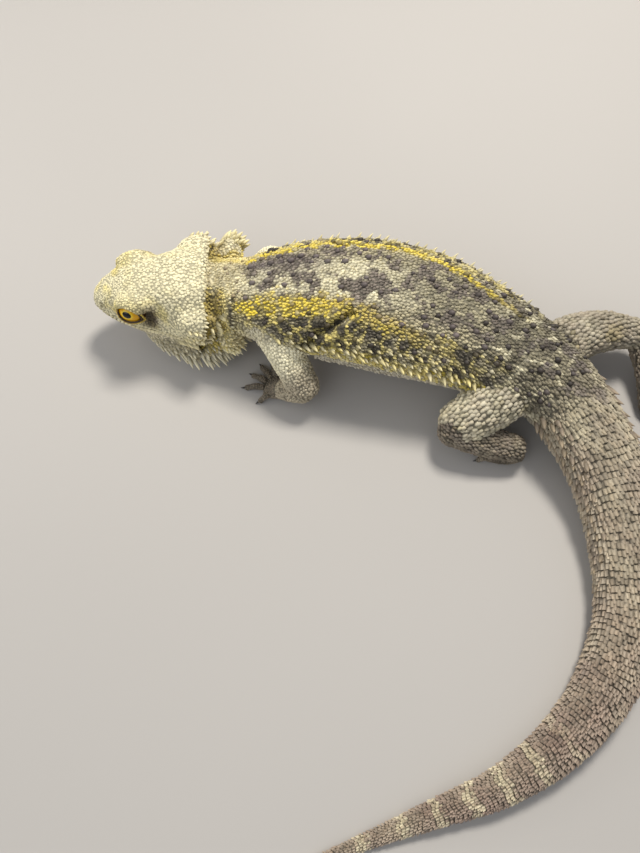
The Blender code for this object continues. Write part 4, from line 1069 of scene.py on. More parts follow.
def trunkMarks(marks, on, body, s, a, spots, coarse, middle, fine, fleck):  # s is the place, a the degrees round
    holes = 1 - 0.75 * eased(noiseAt(spots, *patterns["holes"]) + 0.2 * fleck, 0.22, 0.4)
    for key, (end, places, centre, width) in stripes.items():
        away = (a - np.interp(s, places, centre)) / np.interp(s, places, width)
        ragged = np.abs(away + 0.6 * middle) - 0.4 * fine + 0.16 * fleck
        band = falling(ragged, 0.6, 1.1)
        rich = 1.0
        if key == "left":  # the photo shows this one broken and browner towards the rear
            marks.lift(brown=band * 0.45 * eased(s, 3.8, 5.0) * falling(s, end - 1, end) * body)
            rich = 1 - 0.38 * eased(s, 4.0, 5.2)
        marks.lift(yellow=band * holes * falling(s, end - 2.0, end + 0.6) * (0.82 + 0.25 * middle) * rich * body)
    # back: violet blotches on cream, darker towards the hips
    back = eased(a, 70, 80) * falling(a, 104, 116) * body
    blotches = eased(noiseAt(spots, *patterns["blotches"]) + 0.35 * fine + 0.14 * fleck, 0.0, 0.26)
    upper = eased(a, 66, 78) * falling(a, 120, 132) * body * falling(s, 10, 11.5)
    shade = hump(a, 108, 11) * falling(s, 3.5, 4.7) * eased(s, 1.2, 1.8) * body
    marks.lift(violet=np.maximum(upper * blotches * 0.62, shade * (0.74 + 0.3 * fine)))
    marks.lift(dark=np.maximum(upper * blotches * 0.34 * eased(fine, -0.4, 0.3), 0.45 * shade * eased(fleck, -0.2, 0.8)))
    later = eased(s, 5.2, 6.8)
    marks.lift(pale=back * (1 - blotches) * (0.68 + 0.3 * eased(fleck, -0.3, 0.8)) * (1 - 0.7 * later),
               dark=upper * later * (0.34 + 0.3 * middle + 0.15 * fleck))
    # flanks: black, with a net of yellow and cream lines
    side = (((a > 10) & (a < 62)) | ((a > 130) & (a < 172))) * body * 1.0
    black = (side * eased(middle * 0.7 + coarse * 0.6 + 0.3 * fine + 0.12 * fleck, -0.55, 0.1)
             * (1 - 0.5 * eased(s, 10, 11)))
    net = hump(noiseAt(spots, *patterns["net"]), 0, 0.15) * side * (1 - 0.4 * eased(s, 4.4, 5.6))
    marks.lift(dark=black * (1 - marks.of["yellow"]) * (1 - 0.8 * net) * eased(s, 1.2, 2.6) * 0.9)
    marks.lift(yellow=net * 0.62 * falling(s, 7.5, 9.5) * eased(s, 1.0, 2.0))
    hip = eased(s, 7.4, 8.6) * falling(s, 10.4, 11.6) * body
    web = hump(noiseAt(spots, *patterns["web"]), 0, 0.10)
    marks.lift(pale=hip * web * 0.8, dark=hip * (1 - web) * (0.68 + 0.35 * middle))
    edge = ((a < 18) | (a > 357) | ((a > 162) & (a < 183))) * body * falling(s, 8.5, 10.0) * eased(s, 3.2, 4.0)
    marks.lift(yellow=edge * 0.6 * eased(fine, -0.5, 0.4), pale=np.maximum(edge * 0.5, net * 0.85))
    # belly, shoulder and neck are pale, with a painted shadow line in the crease before the arm
    belly = ((a > 183) & (a < 357)) * body
    marks.lift(pale=belly * 0.95, violet=belly * 0.42 * falling(s, 9, 12))
    round_ = np.minimum(a, 360 - a) - 14 * (a < 180)
    shoulder = np.exp(-(((s - 2.55) / 0.5) ** 2) - (round_ / 16) ** 2) * on["trunk"]
    marks.lift(pale=shoulder)
    marks.of["violet"] = marks.of["violet"] * (1 - shoulder) + shoulder * 0.2
    marks.fade(yellow=0.9 * shoulder, dark=shoulder)
    neck = body * falling(s, 1.3, 2.4)
    low = 1 - eased(a, 58, 74) * falling(a, 112, 126)
    marks.of["yellow"] = np.maximum(marks.of["yellow"] * eased(s, 1.45, 1.95) * (s < 14),
                                    neck * (0.12 + low * (0.3 + 0.3 * middle)))
    marks.lift(pale=neck * (0.82 + 0.3 * fine),
               brown=neck * (0.15 + 0.4 * eased(middle, 0, 0.5)) * (1 - 0.5 * eased(s, 0.6, 1.3)))
    marks.fade(violet=0.75 * neck, dark=0.5 * neck)
    # painted shadow: a dark line along the crease before the arm
    creaseShadow = hump(s, 1.72, 0.12) * (a > 5) * (a < 64) * body
    marks.lift(dark=0.92 * creaseShadow)
    marks.fade(yellow=0.9 * creaseShadow, pale=0.6 * creaseShadow)
    # tail: taupe throughout, with pale rings near the tip
    rump = eased(s + 0.3 * middle, 9.0, 12.0) * body
    marks.lift(brown=rump * (0.62 + 0.2 * coarse + 0.22 * eased(s, 13.5, 16)))
    taupe = np.clip(0.2 + 0.3 * middle + 0.2 * fleck, 0, 1)
    pale, dark = (marks.of[n] * (1 - 0.75 * rump) for n in ("pale", "dark"))
    marks.paint(body, pale=np.maximum(pale, rump * (0.64 + 0.35 * fine + 0.4 * fleck)),
                dark=np.maximum(dark, rump * taupe * (1 - 0.3 * eased(s, 12, 15))))
    rings = eased(np.sin(math.tau * (s * 1.9 + 0.05 * middle)) + 0.25 * fleck, 0.45, 1.0) * eased(s, 15.2, 16.8)
    marks.lift(pale=rings * 0.44 * body, yellow=rings * 0.03 * body)
    marks.fade(brown=0.5 * rings * body, dark=rings * body)


def headMarks(marks, on, inHead, coarse, middle, fine, fleck):
    # head: cream, yellow over the snout, eyes and temples, greyer below
    x, y, z = inHead.T
    skull, fold = on["head"], on["beard"]
    snout = hump(x, 47, 9) * (z > 0)
    temple = np.exp(-(((x - 22) / 9) ** 2) - ((np.abs(y) - 15) / 6) ** 2)
    lids, eyeHollowShadow = np.zeros(len(inHead)), np.zeros(len(inHead))
    for side, _ in bothSides:
        lids = np.maximum(lids, hump(np.linalg.norm(inHead - mirrorY((36.5, 13.5, 6.5), side), axis=1), 0, 6.0))
        eyeHollowShadow = np.maximum(eyeHollowShadow, np.clip(1.5 * np.exp(-eyeHollowDepth(inHead, side) / 1.6), 0, 1))
    below = falling(z, -9, -4)
    gold = 0.08 + 0.5 * snout * eased(middle, -0.2, 0.5) + 0.3 * temple * eased(middle, -0.1, 0.5) + 0.4 * lids
    marks.paint(skull, yellow=np.clip(gold, 0, 0.8) * (1 - 0.8 * below), pale=0.84 - 0.2 * below)
    # the valley behind the rear rim is gold with painted shade in it, and the hollow behind each eye is painted dark
    # brown as a shadow
    valley = splineAt(np.array(headFolds[0]["path"]) - (2.0, 0, 0), np.linspace(0, 13, 80))
    valleyTree = kdOf(valley)
    near = [valleyTree.find(p) for p in inHead]
    deep = hump(np.array([n[2] for n in near]), 0, 4.6) * (skull | on["trunk"] | fold)
    deep *= (x < valley[[n[1] for n in near], 0] + 2.8) * (z > -12)
    deep = np.clip(1.5 * deep, 0, 1) * falling(-x, 5.0, 8.5) * eased(np.abs(y), 5.0, 12.0)
    rearCheek = skull * 1.0 * eased(-x, -6, 3)
    # painted shadow: the hollow behind each eye is painted dark and brown, with less yellow
    marks.paint(skull, dark=np.maximum(0.1 * eased(fine, 0.1, 0.7), 0.86 * eyeHollowShadow),
                brown=np.maximum(0.12 * rearCheek + 0.22 * below, eyeHollowShadow))
    marks.fade(yellow=0.7 * eyeHollowShadow)
    marks.paint(deep > 0.05, yellow=marks.of["yellow"] * (1 - deep) + 0.36 * deep)
    # painted shade: the valley under the rim is darkened and browned, most of all low down, and its pale is faded
    marks.lift(dark=deep * (0.56 + 0.3 * falling(z, 1, 9)) * eased(fleck, -1.8, 0.0), brown=0.9 * deep)
    marks.fade(pale=0.8 * deep)
    # beard: darker underneath, with the valley's painted shade at its back, gold beside the neck
    besideNeck = fold * eased(-x, -9, 0) * eased(z, -15, -10)
    marks.paint(fold, pale=0.86 - 0.25 * below + 0.3 * fine + 0.2 * fleck, brown=0.1 + 0.2 * middle,
                yellow=0.06 + 0.5 * besideNeck, dark=0.06 + 0.2 * coarse + 0.2 * below + 0.3 * deep,
                violet=0.15 * (1 - besideNeck))


def limbMarks(marks, on, place, coarse, middle, fine, fleck):  # pale arms, browner legs, dark paws; shanks and paws are darkened partly by painted shadow
    arm, leg, paw = on["arm"], on["leg"], on["paw"]
    along, limb = np.clip(place % 10, 0, 3), place // 10
    lower = np.isin(limb, (1, 3, 5, 7)) * 1.0
    elbow = arm * np.maximum(eased(along, 1.5, 2.7), lower)
    shin, far = leg * lower, leg * (limb == 6)
    marks.paint(arm, pale=1.05 + 0.2 * fine + 0.15 * fleck - 0.45 * elbow, brown=0.45 * elbow,
                dark=0.18 * eased(fine + 0.4 * middle + 0.2 * fleck, 0.1, 0.6) + 0.12 * elbow)
    # the shanks' brown is their own, and their extra dark is partly painted shadow under the thighs
    marks.paint(leg, pale=0.66 + 0.3 * fine + 0.35 * fleck - 0.3 * shin,
                brown=0.14 + 0.22 * coarse + 0.42 * shin + 0.2 * far,
                dark=(0.26 * eased(middle + 0.3 * fleck, -0.2, 0.5) + 0.16 * eased(-fine, 0, 0.5) + 0.36 * shin
                      + 0.24 * far),
                violet=0.26 * eased(-middle, -0.4, 0.3), yellow=0.1 * eased(coarse - 0.2 * fine, 0.3, 0.6))
    # the paws' dark grey-brown is partly their own colour and partly painted shadow under the body
    marks.paint(paw, brown=0.6, dark=0.56 + 0.3 * middle, pale=0.5 + 0.3 * fine)


def tint(r, g, b):  # a colour as it looks on screen, 0 to 255, made linear
    return tuple((c / 255 / 12.92) if c <= 10 else (((c / 255 + 0.055) / 1.055) ** 2.4) for c in (r, g, b))


coat = {"ground": tint(190, 179, 144), "pale": tint(240, 231, 196), "brown": tint(152, 129, 114),
        "violet": tint(122, 107, 112), "dark": tint(54, 46, 38), "yellow": tint(244, 218, 66), "gap": tint(66, 62, 48)}
# crown: how much painted shade darkens a scale towards its root, in the gaps between scales, leaving its top lighter;
# bump: how rough its grain looks
coatLooks = {"scale": {"name": "scales", "crown": 0.28}, "headScale": {"name": "head_scales", "crown": 0.6, "bump": 0.15},
             "deepScale": {"name": "tail_and_leg_scales", "crown": 0.6},
             "paleScale": {"name": "arm_and_beard_scales", "crown": 0.1},
             "spine": {"name": "spines", "crown": 0.5, "rough": 0.6, "bump": 0.15}}
coatGrain = {"size": 0.0006, "contrast": 0.4, "eachScale": 0.17, "relief": 0.0003}


def newMaterial(name):
    material = bpy.data.materials.new(name)
    material.use_nodes = True
    net = Net(material.node_tree)
    shader = material.node_tree.nodes["Principled BSDF"]
    return material, net, shader


def finish(net, shader, colour, rough, relief=None):  # relief: its strength, its depth in metres, its height
    net.tree.links.new(colour.socket, shader.inputs["Base Color"])
    shader.inputs["Roughness"].default_value = rough
    if relief:
        strength, depth, height = relief
        bump = net.add("ShaderNodeBump", {}, {"Strength": strength, "Distance": depth, "Height": height})
        net.tree.links.new(bump.outputs[0], shader.inputs["Normal"])


def coatColour(net):
    colour = net.mixed(coat["ground"], coat["pale"], net.attribute("pale"))
    for name in ("brown", "violet", "dark", "yellow"):
        colour = net.mixed(colour, coat[name], net.attribute(name).clamped())
    return colour


def coatMaterial(name, crown, rough=0.62, bump=0.25):
    material, net, shader = newMaterial(name)
    spot = net.spot()
    colour = coatColour(net)
    speckle = net.out("ShaderNodeTexNoise", {}, {"Vector": spot, "Scale": 1 / coatGrain["size"], "Detail": 3.0,
                                                 "Roughness": 0.6})
    tone = net.attribute("tone") * coatGrain["eachScale"] + (speckle - 0.5) * coatGrain["contrast"] + 1.0
    # painted shade: each scale is darker towards its root, by the share crown
    tone = tone * (net.attribute("crown").between(0.0, 0.75) * crown + (1 - crown))
    grey = net.out("ShaderNodeCombineColor", {}, {0: tone, 1: tone, 2: tone})
    colour = net.mixed(colour, grey, 1.0, "MULTIPLY")
    finish(net, shader, colour, rough, (bump, coatGrain["relief"], speckle))
    return material


scaleLook = {  # shape, long and wide in spacings, height in millimetres, material
    "head": ("pebble", 1.34, 1.24, 0.38, "headScale"), "beard": ("keeled", 1.3, 0.9, 0.75, "paleScale"),
    "trunk": ("keeled", 1.14, 1.0, 0.85, "scale"), "tail": ("block", 1.54, 1.16, 1.3, "deepScale"),
    "arm": ("granule", 1.26, 1.16, 0.55, "paleScale"), "leg": ("shield", 1.28, 1.04, 0.95, "deepScale"),
    "paw": ("granule", 1.2, 1.05, 0.42, "scale"), "belly": ("shield", 1.14, 1.0, 0.425, "scale")}
vary = {"spread": (0.8, 1.12), "height": (0.65, 1.3)}  # how much scales differ from their neighbours
faceFrom = 21  # where the head's scales part into two pieces, ahead of the nape


def rootPlaces(rows):  # each scale's place on an unwrap of the skin, within 0 to 1
    part, place, turn = rows[:, 0].astype(int), rows[:, 1], rows[:, 2] / 360
    u = np.zeros(len(rows))
    ends = {"head": (-3, 57), "beard": (-1, 0.7), "trunk": (0, 10.7), "tail": (10.5, 20)}
    for k, name in enumerate(partNames):
        here = place[part == k]
        if name in ("arm", "leg"):
            u[part == k] = (np.floor(here / 10) + (here % 10) / 3.2) / 8
        elif name == "paw":
            u[part == k] = (np.floor(here / 100) * 6 + np.floor(here % 100 / 10) + (here % 10) / 2.1) / 24
        else:
            low, high = ends[name]
            u[part == k] = (here - low) / (high - low)
    jitter = rng.uniform(-0.002, 0.002, (len(rows), 2))
    return np.clip(np.column_stack([0.01 + 0.98 * u, 0.01 + 0.98 * turn]) + jitter, 0.002, 0.998)


def coatGroups():  # the pieces of the coat, in the order that they are laid: piece, part of the body, its scales
    part, turn = roots[:, 0], roots[:, 2]
    under = (part == partNames.index("trunk")) & (turn > 200) & (turn < 340)
    ahead = toHead(roots[:, 4:7])[:, 0] > faceFrom
    for k, name in enumerate(partNames):
        here = (part == k) & ~under
        if name == "trunk":
            yield "belly", under
            yield "back", here & (turn > 52) & (turn < 128)
            yield "flank_left", here & ((turn <= 52) | (turn > 270))
            yield "flank_right", here & (turn >= 128) & (turn <= 270)
        elif name == "head":
            yield "head", here & ~ahead
            yield "face", here & ahead
        else:
            yield name, here


def layAllScales():
    marks = markings(roots[:, 0].astype(int), roots[:, 1], roots[:, 2], roots[:, 4:7])
    places = rootPlaces(roots)
    made = []
    for label, chosen in coatGroups():
        kind = {"face": "head", "back": "trunk", "flank_left": "trunk", "flank_right": "trunk"}.get(label, label)
        shape, long, wide, high, surface = scaleLook[kind]
        rows = roots[chosen]
        gap = rows[:, 3] * rng.uniform(*vary["spread"], len(rows))
        tall = high * (rows[:, 3] / 1.6) ** 0.7 * rng.uniform(*vary["height"], len(rows))
        made.append(layPiece("scales_" + label, shape, rows[:, 4:7], rows[:, 7:10], rows[:, 10:13],
                             np.column_stack([gap * long, gap * wide, tall]), {n: v[chosen] for n, v in marks.items()},
                             places[chosen], materials[surface]))
        print("scales on", label, len(rows), "roots", len(made[-1].data.polygons), "faces")
    return made


# length and radius in millimetres, then the shares of yellow, dark, violet, pale and brown
spines = {"jowl": (3.3, 1.15), "beard": (7.4, 1.0), "neck": (4.2, 1.0), "crown": (3.0, 0.85), "rim": (2.4, 0.8),
          "flank": (5.2, 1.25), "upperFlank": (2.8, 0.95), "tail": (4.0, 1.45)}
spineColours = {"jowl": (0.22, 0, 0, 0.95, 0.1), "crown": (0.22, 0, 0, 0.95, 0.1), "neck": (0.22, 0.03, 0, 0.95, 0.04),
                "beard": (0.02, 0.03, 0.12, 1.0, 0.04), "rim": (0.12, 0.03, 0, 0.95, 0.05)}


def gridPlaces(count, least=1):  # a place for each on a square grid, for the OFBake map
    side, turn = max(least, math.ceil(math.sqrt(count))), np.arange(count)
    return np.column_stack([(turn % side + 0.5) / side, (turn // side + 0.5) / side])


class Bristle:  # gathers spines of one kind before they are laid as a piece
    def __init__(self):
        self.rows = []

    def add(self, root, way, lie, kind, scale, marks=None):
        length, radius = spines[kind]
        girth = radius * (0.55 + 0.45 * scale)
        marks = marks or (*spineColours[kind], rng.uniform(-1, 1))
        self.rows.append((*root, *way, *lie, girth, girth, length * scale, *marks))

    def lay(self, name, shape="spike", sunk=0.25):
        rows = np.array(self.rows)
        ways = unit(rows[:, 3:6])
        marks = {n: rows[:, 12 + k] for k, n in enumerate(markNames)}
        return layPiece(name, shape, rows[:, :3] - ways * sunk, ways, rows[:, 6:9], rows[:, 9:12], marks,
                        gridPlaces(len(rows), 8), materials["spine"], 0.12)


def headSpot(spot, way):
    found = onSkin(fromHead([spot]))[0][0]
    return found, np.array(way) @ headAxes.T


rearward = np.array((-1, 0, 0)) @ headAxes.T
# rows of the beard as lift on the pouch, length and count; the sweep is the arc that they cover, in degrees
beardRows = {"rows": ((0.04, 0.5, 21), (-0.12, 0.92, 21), (-0.34, 0.86, 18), (-0.54, 0.7, 15), (-0.74, 0.45, 12),
                      (0.2, 0.36, 20), (0.38, 0.27, 18), (0.56, 0.2, 15)), "sweep": (-62, 128), "ramp": 45}
# lines of spines on one side of the skull: kind, first and last spot, way, length, count
skullLines = (("crown", (-1.0, 22.3, -4.5), (-3.6, 19.0, 8.0), (-0.75, 0.75, 0.15), 1.15, 9),
              ("crown", (0.5, 24.3, -3.4), (14.5, 24.3, -3.2), (-0.60, 0.90, -0.15), 1.05, 8),
              ("crown", (1.5, 24.0, -1.0), (9.5, 24.6, -0.5), (-0.60, 0.90, 0.05), 0.8, 5),
              ("crown", (1.0, 24.5, 2.0), (10.0, 23.7, 4.7), (-0.55, 0.90, 0.30), 0.85, 5),
              ("crown", (6.5, 25.0, 0.5), (12.5, 24.6, 1.0), (-0.60, 0.90, 0.15), 0.55, 4),
              ("jowl", (17.6, 21.6, -7.6), (9.4, 25.4, -6.0), (-0.50, 0.80, -0.55), 1.0, 6))
# the bristling fold beside the neck, as the beard's rows; the photo shows the right side's longer
neckRows = {1: (0.9, ((-0.5, 0.6, 6), (-0.2, 0.95, 9), (0.08, 0.55, 8), (0.38, 0.38, 7), (0.7, 0.32, 5))),
            -1: (1.3, ((-0.5, 0.6, 6), (-0.2, 0.95, 8), (0.12, 1.0, 8), (0.42, 0.9, 6), (0.75, 0.5, 5)))}
# small spines along the skull's rear rim and the fold behind it: path, ends left bare, step, length
rimLines = ((headEdge, 0.4, 0.36, 1.0), (headFolds[1]["path"][:4], 0.0, 0.3, 0.7))


def beardSpines():
    bristle = Bristle()
    (cx, _, cz), (rx, ry, rz), rear = head["beard"]
    start, sweep = beardRows["sweep"]
    for side, _ in bothSides:
        for lift, length, count in beardRows["rows"]:
            flat = math.sqrt(1 - lift**2)
            for k in range(count):
                a = math.radians(start + sweep * (k + 0.5) / count + rng.uniform(-2.5, 2.5))
                reach = rear if a > 0 else rx
                spot = (cx - reach * flat * math.sin(a), side * ry * flat * math.cos(a), cz + rz * lift)
                way = (-0.55 - 0.3 * math.sin(a), side * (0.75 * math.cos(a) + 0.2), -0.42 + 0.4 * lift)
                grown = 0.4 + 0.6 * min(1.0, (a - math.radians(start)) / math.radians(beardRows["ramp"]))
                bristle.add(*headSpot(spot, way), rearward, "beard", length * grown * rng.uniform(0.85, 1.12))
    return bristle.lay("spines_beard", "thorn")


def skullSpines():
    bristle = Bristle()
    (cx, cy, cz), (rx, ry, rz) = head["neckFold"]
    for side, _ in bothSides:
        for kind, first, last, way, length, count in skullLines:
            for k in range(count):
                spot = [a + (b - a) * k / (count - 1) + rng.uniform(-0.4, 0.4) for a, b in zip(first, last)]
                bristle.add(*headSpot(mirrorY(spot, side), mirrorY(way, side)), rearward, kind,
                            length * rng.uniform(0.85, 1.15))
        drawn, rows = neckRows[side]
        for lift, length, count in rows:
            flat = math.sqrt(1 - lift**2)
            for k in range(count):
                a = math.radians(-60 + 120 * k / (count - 1))
                spot = (cx - rx * flat * math.sin(a), side * (cy + ry * flat * math.cos(a)), cz + rz * lift)
                way = (-0.7 - 0.4 * math.sin(a), side * math.cos(a), 0.1 + 0.5 * lift)
                bristle.add(*headSpot(spot, way), rearward, "neck", length * drawn * rng.uniform(0.8, 1.15))
    for path, bare, step, length in rimLines:
        for at in np.arange(bare, len(path) - 1 - bare, step):
            spot = splineAt(np.array(path, float), at)[0] + rng.uniform(-0.3, 0.3, 3)
            low = min(1.0, max(0.0, (12.0 - spot[2]) / 8.0))  # longer low on the sides
            way = (-1.0, 0.7 * np.sign(spot[1]) * low, 0.45 - 0.3 * low)
            bristle.add(*headSpot(spot - (0.6, 0, 0), way), rearward, "rim",
                        (0.55 + 0.45 * low) * length * rng.uniform(0.8, 1.15))
    return bristle.lay("spines_head", "thorn")


# rows along the body: first and last place, spacing, degrees round, kind, and how far they lean up and back
bodyRows = ((3.1, 8.6, 3.7, 14, "flank", 0.2, 0.5), (3.3, 8.4, 4.0, 19, "upperFlank", 0.1, 0.6),
            (3.2, 8.2, 4.2, 5, "upperFlank", 0.1, 0.6), (3.4, 8.2, 5.2, 28, "upperFlank", 0.05, 0.6),
            (10.4, 14.2, 3.6, 2, "tail", 0.0, 1.1), (10.4, 13.4, 4.4, 22, "tail", 0.0, 1.3),
            (10.6, 13.0, 4.8, 40, "tail", 0.1, 1.5))
backKnobs = {"degrees": range(36, 147, 10), "first": 0.9, "last": 10.2, "spacing": 7.2, "neckEnds": 1.9,
             "size": (3.0, 2.7, 1.8), "darkShare": 0.6}


def trunkSpot(at, turn, grow):
    return (v[0] for v in trunkSurface([at], np.radians([turn]), grow))


def bodySpines():
    bristle = Bristle()

    def stepOf(place, distance):  # millimetres along the body as a step of body place
        here, ahead = (splineAt(trunkRows, p)[0, :3] for p in (place, place + 0.01))
        return distance * 0.01 / float(np.linalg.norm(ahead - here))
    for place, last, spacing, angle, kind, rise, back in bodyRows:
        while place < last:
            for right in (False, True):
                at, turn = place + rng.uniform(-0.04, 0.04), angle + rng.uniform(-4, 4)
                root, out, rear = trunkSpot(at, 180 - turn if right else turn, -0.3)
                shrink = 1.0 if kind != "tail" else 1.15 - 0.18 * (at - 10.4)
                shrink *= 0.72 if right and at < 9 else 1.0  # the photo shows the right side's shorter
                scale = shrink * rng.uniform(0.7, 1.2)
                gold = (0.4 if at < 8.5 else 0.05) * rng.uniform(0.2, 1.2) * (0.6 if right else 1)
                colours = (gold, 0.1, 0, 0.6 if at < 9 else 0.35, 0.75 * (at > 9), rng.uniform(-1, 1))
                bristle.add(root, out + rear * back + (0, 0, rise), rear, kind, scale, colours)
            place += stepOf(place, spacing)
    knobs = Bristle()
    for angle in backKnobs["degrees"]:
        place = backKnobs["first"] + 0.15 * (angle % 20) / 10
        while place < backKnobs["last"]:
            at, turn = place + rng.uniform(-0.1, 0.1), angle + rng.uniform(-3.5, 3.5)
            root, out, rear = trunkSpot(at, turn, -0.35)
            found = markings(np.array([2]), np.array([at]), np.array([float(turn)]), root[None, :])
            c = {n: float(found[n][0]) for n in markNames}
            if at < backKnobs["neckEnds"]:  # brownish on the neck, then violet and black, or as the coat
                c.update(yellow=c["yellow"] * 0.5, dark=0.3, pale=c["pale"] * 0.6, brown=max(c["brown"], 0.7))
            elif rng.random() < backKnobs["darkShare"]:
                c.update(yellow=c["yellow"] * 0.3, dark=min(1.0, c["dark"] + 0.45), violet=max(c["violet"], 0.85))
            else:
                c.update(yellow=c["yellow"] * 0.6, pale=c["pale"] * 0.5)
            size = rng.uniform(0.7, 1.15) * (1.0 if c["violet"] > 0.6 else 0.75 if at > backKnobs["neckEnds"] else 0.6)
            knobs.rows.append((*root, *(out + rear * 0.35), *rear, *(v * size for v in backKnobs["size"]), *c.values()))
            place += stepOf(place, backKnobs["spacing"] * rng.uniform(0.85, 1.15))
    return [bristle.lay("spines_flank"), knobs.lay("tubercles_back", "tubercle", 0.1)]


# plates along the mouth: ends, step and size, how far off the mouth's line they lie, and how they shrink ahead
lipPlates = {"ends": (2.5, 55.6), "last": 55.4, "step": 1.75, "size": (1.85, 1.35, 0.42), "off": (0.85, 0.7),
             "narrowFrom": 40, "lowerShift": 0.9, "shrink": ([2, 30, 50, 56], [1.0, 1.0, 0.8, 0.62]), "offSkin": 1.6,
             "colours": {"yellow": 0.12, "dark": 0, "violet": 0, "pale": 0.85, "brown": 0.12}}


def lipScales():
    rows, sizes = [], []
    long, wide, high = lipPlates["size"]
    for side, _ in bothSides:
        for level in (1, -1):
            for x in np.arange(*lipPlates["ends"], lipPlates["step"]) + (lipPlates["lowerShift"] if level < 0 else 0.0):
                x = min(x, lipPlates["last"])
                height = mouthHeight(x)[0] + level * lipPlates["off"][0 if x < lipPlates["narrowFrom"] else 1]
                rows.append(fromHead([besideMouth(x, height, side, 240, -skinShape["depth"])])[0])
                shrink = float(np.interp(x, *lipPlates["shrink"]))
                sizes.append((long * shrink, wide * shrink, high))
    spots, outs, far = onSkin(np.array(rows))
    kept = far < lipPlates["offSkin"]
    count = kept.sum()
    marks = {n: np.full(count, float(share)) for n, share in lipPlates["colours"].items()}
    marks["tone"] = rng.uniform(-1, 1, count)
    return layPiece("scales_lips", "plate", spots[kept], outs[kept], np.tile(rearward, (count, 1)),
                    np.array(sizes)[kept], marks, gridPlaces(count), materials["headScale"], 0.04)


def sweptRing(path, outs, radius, sides=8, beads=0.0):  # a closed tube along a closed path, with beads along it if asked
    path, count = np.asarray(path), len(path)
    verts = []
    for k in range(count):
        way = unit(path[(k + 1) % count] - path[k - 1])
        up = unit(outs[k] - way * np.dot(outs[k], way))
        across = np.cross(way, up)
        thick = radius * (1 + beads * math.cos(math.tau * k / 4))
        verts += [tuple(path[k] + (across * math.cos(b) + up * math.sin(b)) * thick)
                  for b in (math.tau * i / sides for i in range(sides))]
    faces = [(k * sides + i, k * sides + (i + 1) % sides, ((k + 1) % count) * sides + (i + 1) % sides,
              ((k + 1) % count) * sides + i) for k in range(count) for i in range(sides)]
    return outwardMesh("ring", verts, faces)


# each lid: how far out of the opening, its radius, its height over the eyeball, and how beaded it is
lidRings = ((1.0, 0.36, 0.62, 0.0), (1.13, 0.4, 0.72, 0.22))
ringPoints, ringSides = 96, 10
nostrilRing = {"spot": (51.2, 7.2, 1.4), "long": 1.35, "tall": 1.05, "points": 28, "radius": 0.38, "beads": 0.12}


def lidRims():
    meshes = []
    for _, label in bothSides:
        for grow, radius, lift, beads in lidRings:
            outline = (almond(math.tau * k / ringPoints) for k in range(ringPoints))
            path = np.array([eyeSpot(label, x * grow, y * grow + (grow - 1) * 2 * np.sign(y), head["eyeRadius"] + lift)
                             for x, y in outline])
            for _ in range(2):
                path = (np.roll(path, 1, axis=0) + 2 * path + np.roll(path, -1, axis=0)) / 4
            meshes.append(sweptRing(path, unit(path - eyeAxes[label][0]), radius, ringSides, beads))
    return moveMesh(moveMesh(joinMeshes("lid_rims", meshes), fromHead), toWorld)


def nostrilRims():
    meshes, count = [], nostrilRing["points"]
    for side, _ in bothSides:
        spot, out, _ = (v[0] for v in onSkin(fromHead([mirrorY(nostrilRing["spot"], side)])))
        ahead = -rearward
        ahead = unit(ahead - out * np.dot(ahead, out))
        up = np.cross(out, ahead)
        path = [spot + ahead * nostrilRing["long"] * math.cos(a) + up * nostrilRing["tall"] * math.sin(a) + out * 0.05
                for a in (math.tau * k / count for k in range(count))]
        meshes.append(sweptRing(path, [out] * count, nostrilRing["radius"], 8, nostrilRing["beads"]))
    return moveMesh(joinMeshes("nostril_rims", meshes), toWorld)


def eyeballMesh(label):
    centre, out, ahead, _ = eyeAxes[label]
    mesh = ellipsoidMesh("eyeball", (0, 0, 0), (head["eyeRadius"],) * 3, 64, 48)
    points = meshPoints(mesh)
    front = points @ out
    wide = np.linalg.norm(points - front[:, None] * out, axis=1)
    bulge = 0.22 * np.exp(-((wide / 2.6) ** 2)) * (front > 0)
    points += unit(points) * bulge[:, None]
    points += np.outer(np.minimum(points @ ahead, 0) * (lidShape["behind"] * 1.05 - 1), ahead)
    mesh.vertices.foreach_set("co", toWorld(fromHead(points + centre)).ravel())
    mesh.update()
    return mesh


def clawMesh(path):
    rows = np.asarray(path)
    way = unit((splineAt(rows, 2.0) - splineAt(rows, 1.95))[0, :3])
    start = math.asin(-way[2])
    flat = unit(np.array((way[0], way[1], 0.0)))
    spot = rows[-1, :3] + way * -0.3
    rings, steps = [], 12
    for k in range(steps + 1):
        share = k / steps
        dip = start + math.radians(42) * (share - 0.35 * math.sin(math.pi * share))
        heading = flat * math.cos(dip) - np.array((0, 0, math.sin(dip)))
        side, up = framesAlong(heading)
        radius = toe["clawRadius"] * max(1 - share, 0.0) ** 0.8
        if k == steps:
            rings.append([spot])
        else:
            rings.append([spot + side * 0.72 * radius * math.cos(b) + up * radius * math.sin(b)
                          for b in (math.tau * i / 12 for i in range(12))])
        spot = spot + heading * (toe["clawLength"] + 0.3) / steps
        spot[2] = max(spot[2], 0.75 + toe["clawRadius"] * max(1 - (k + 1) / steps, 0) ** 0.8)
    return loftMesh("claw", rings)


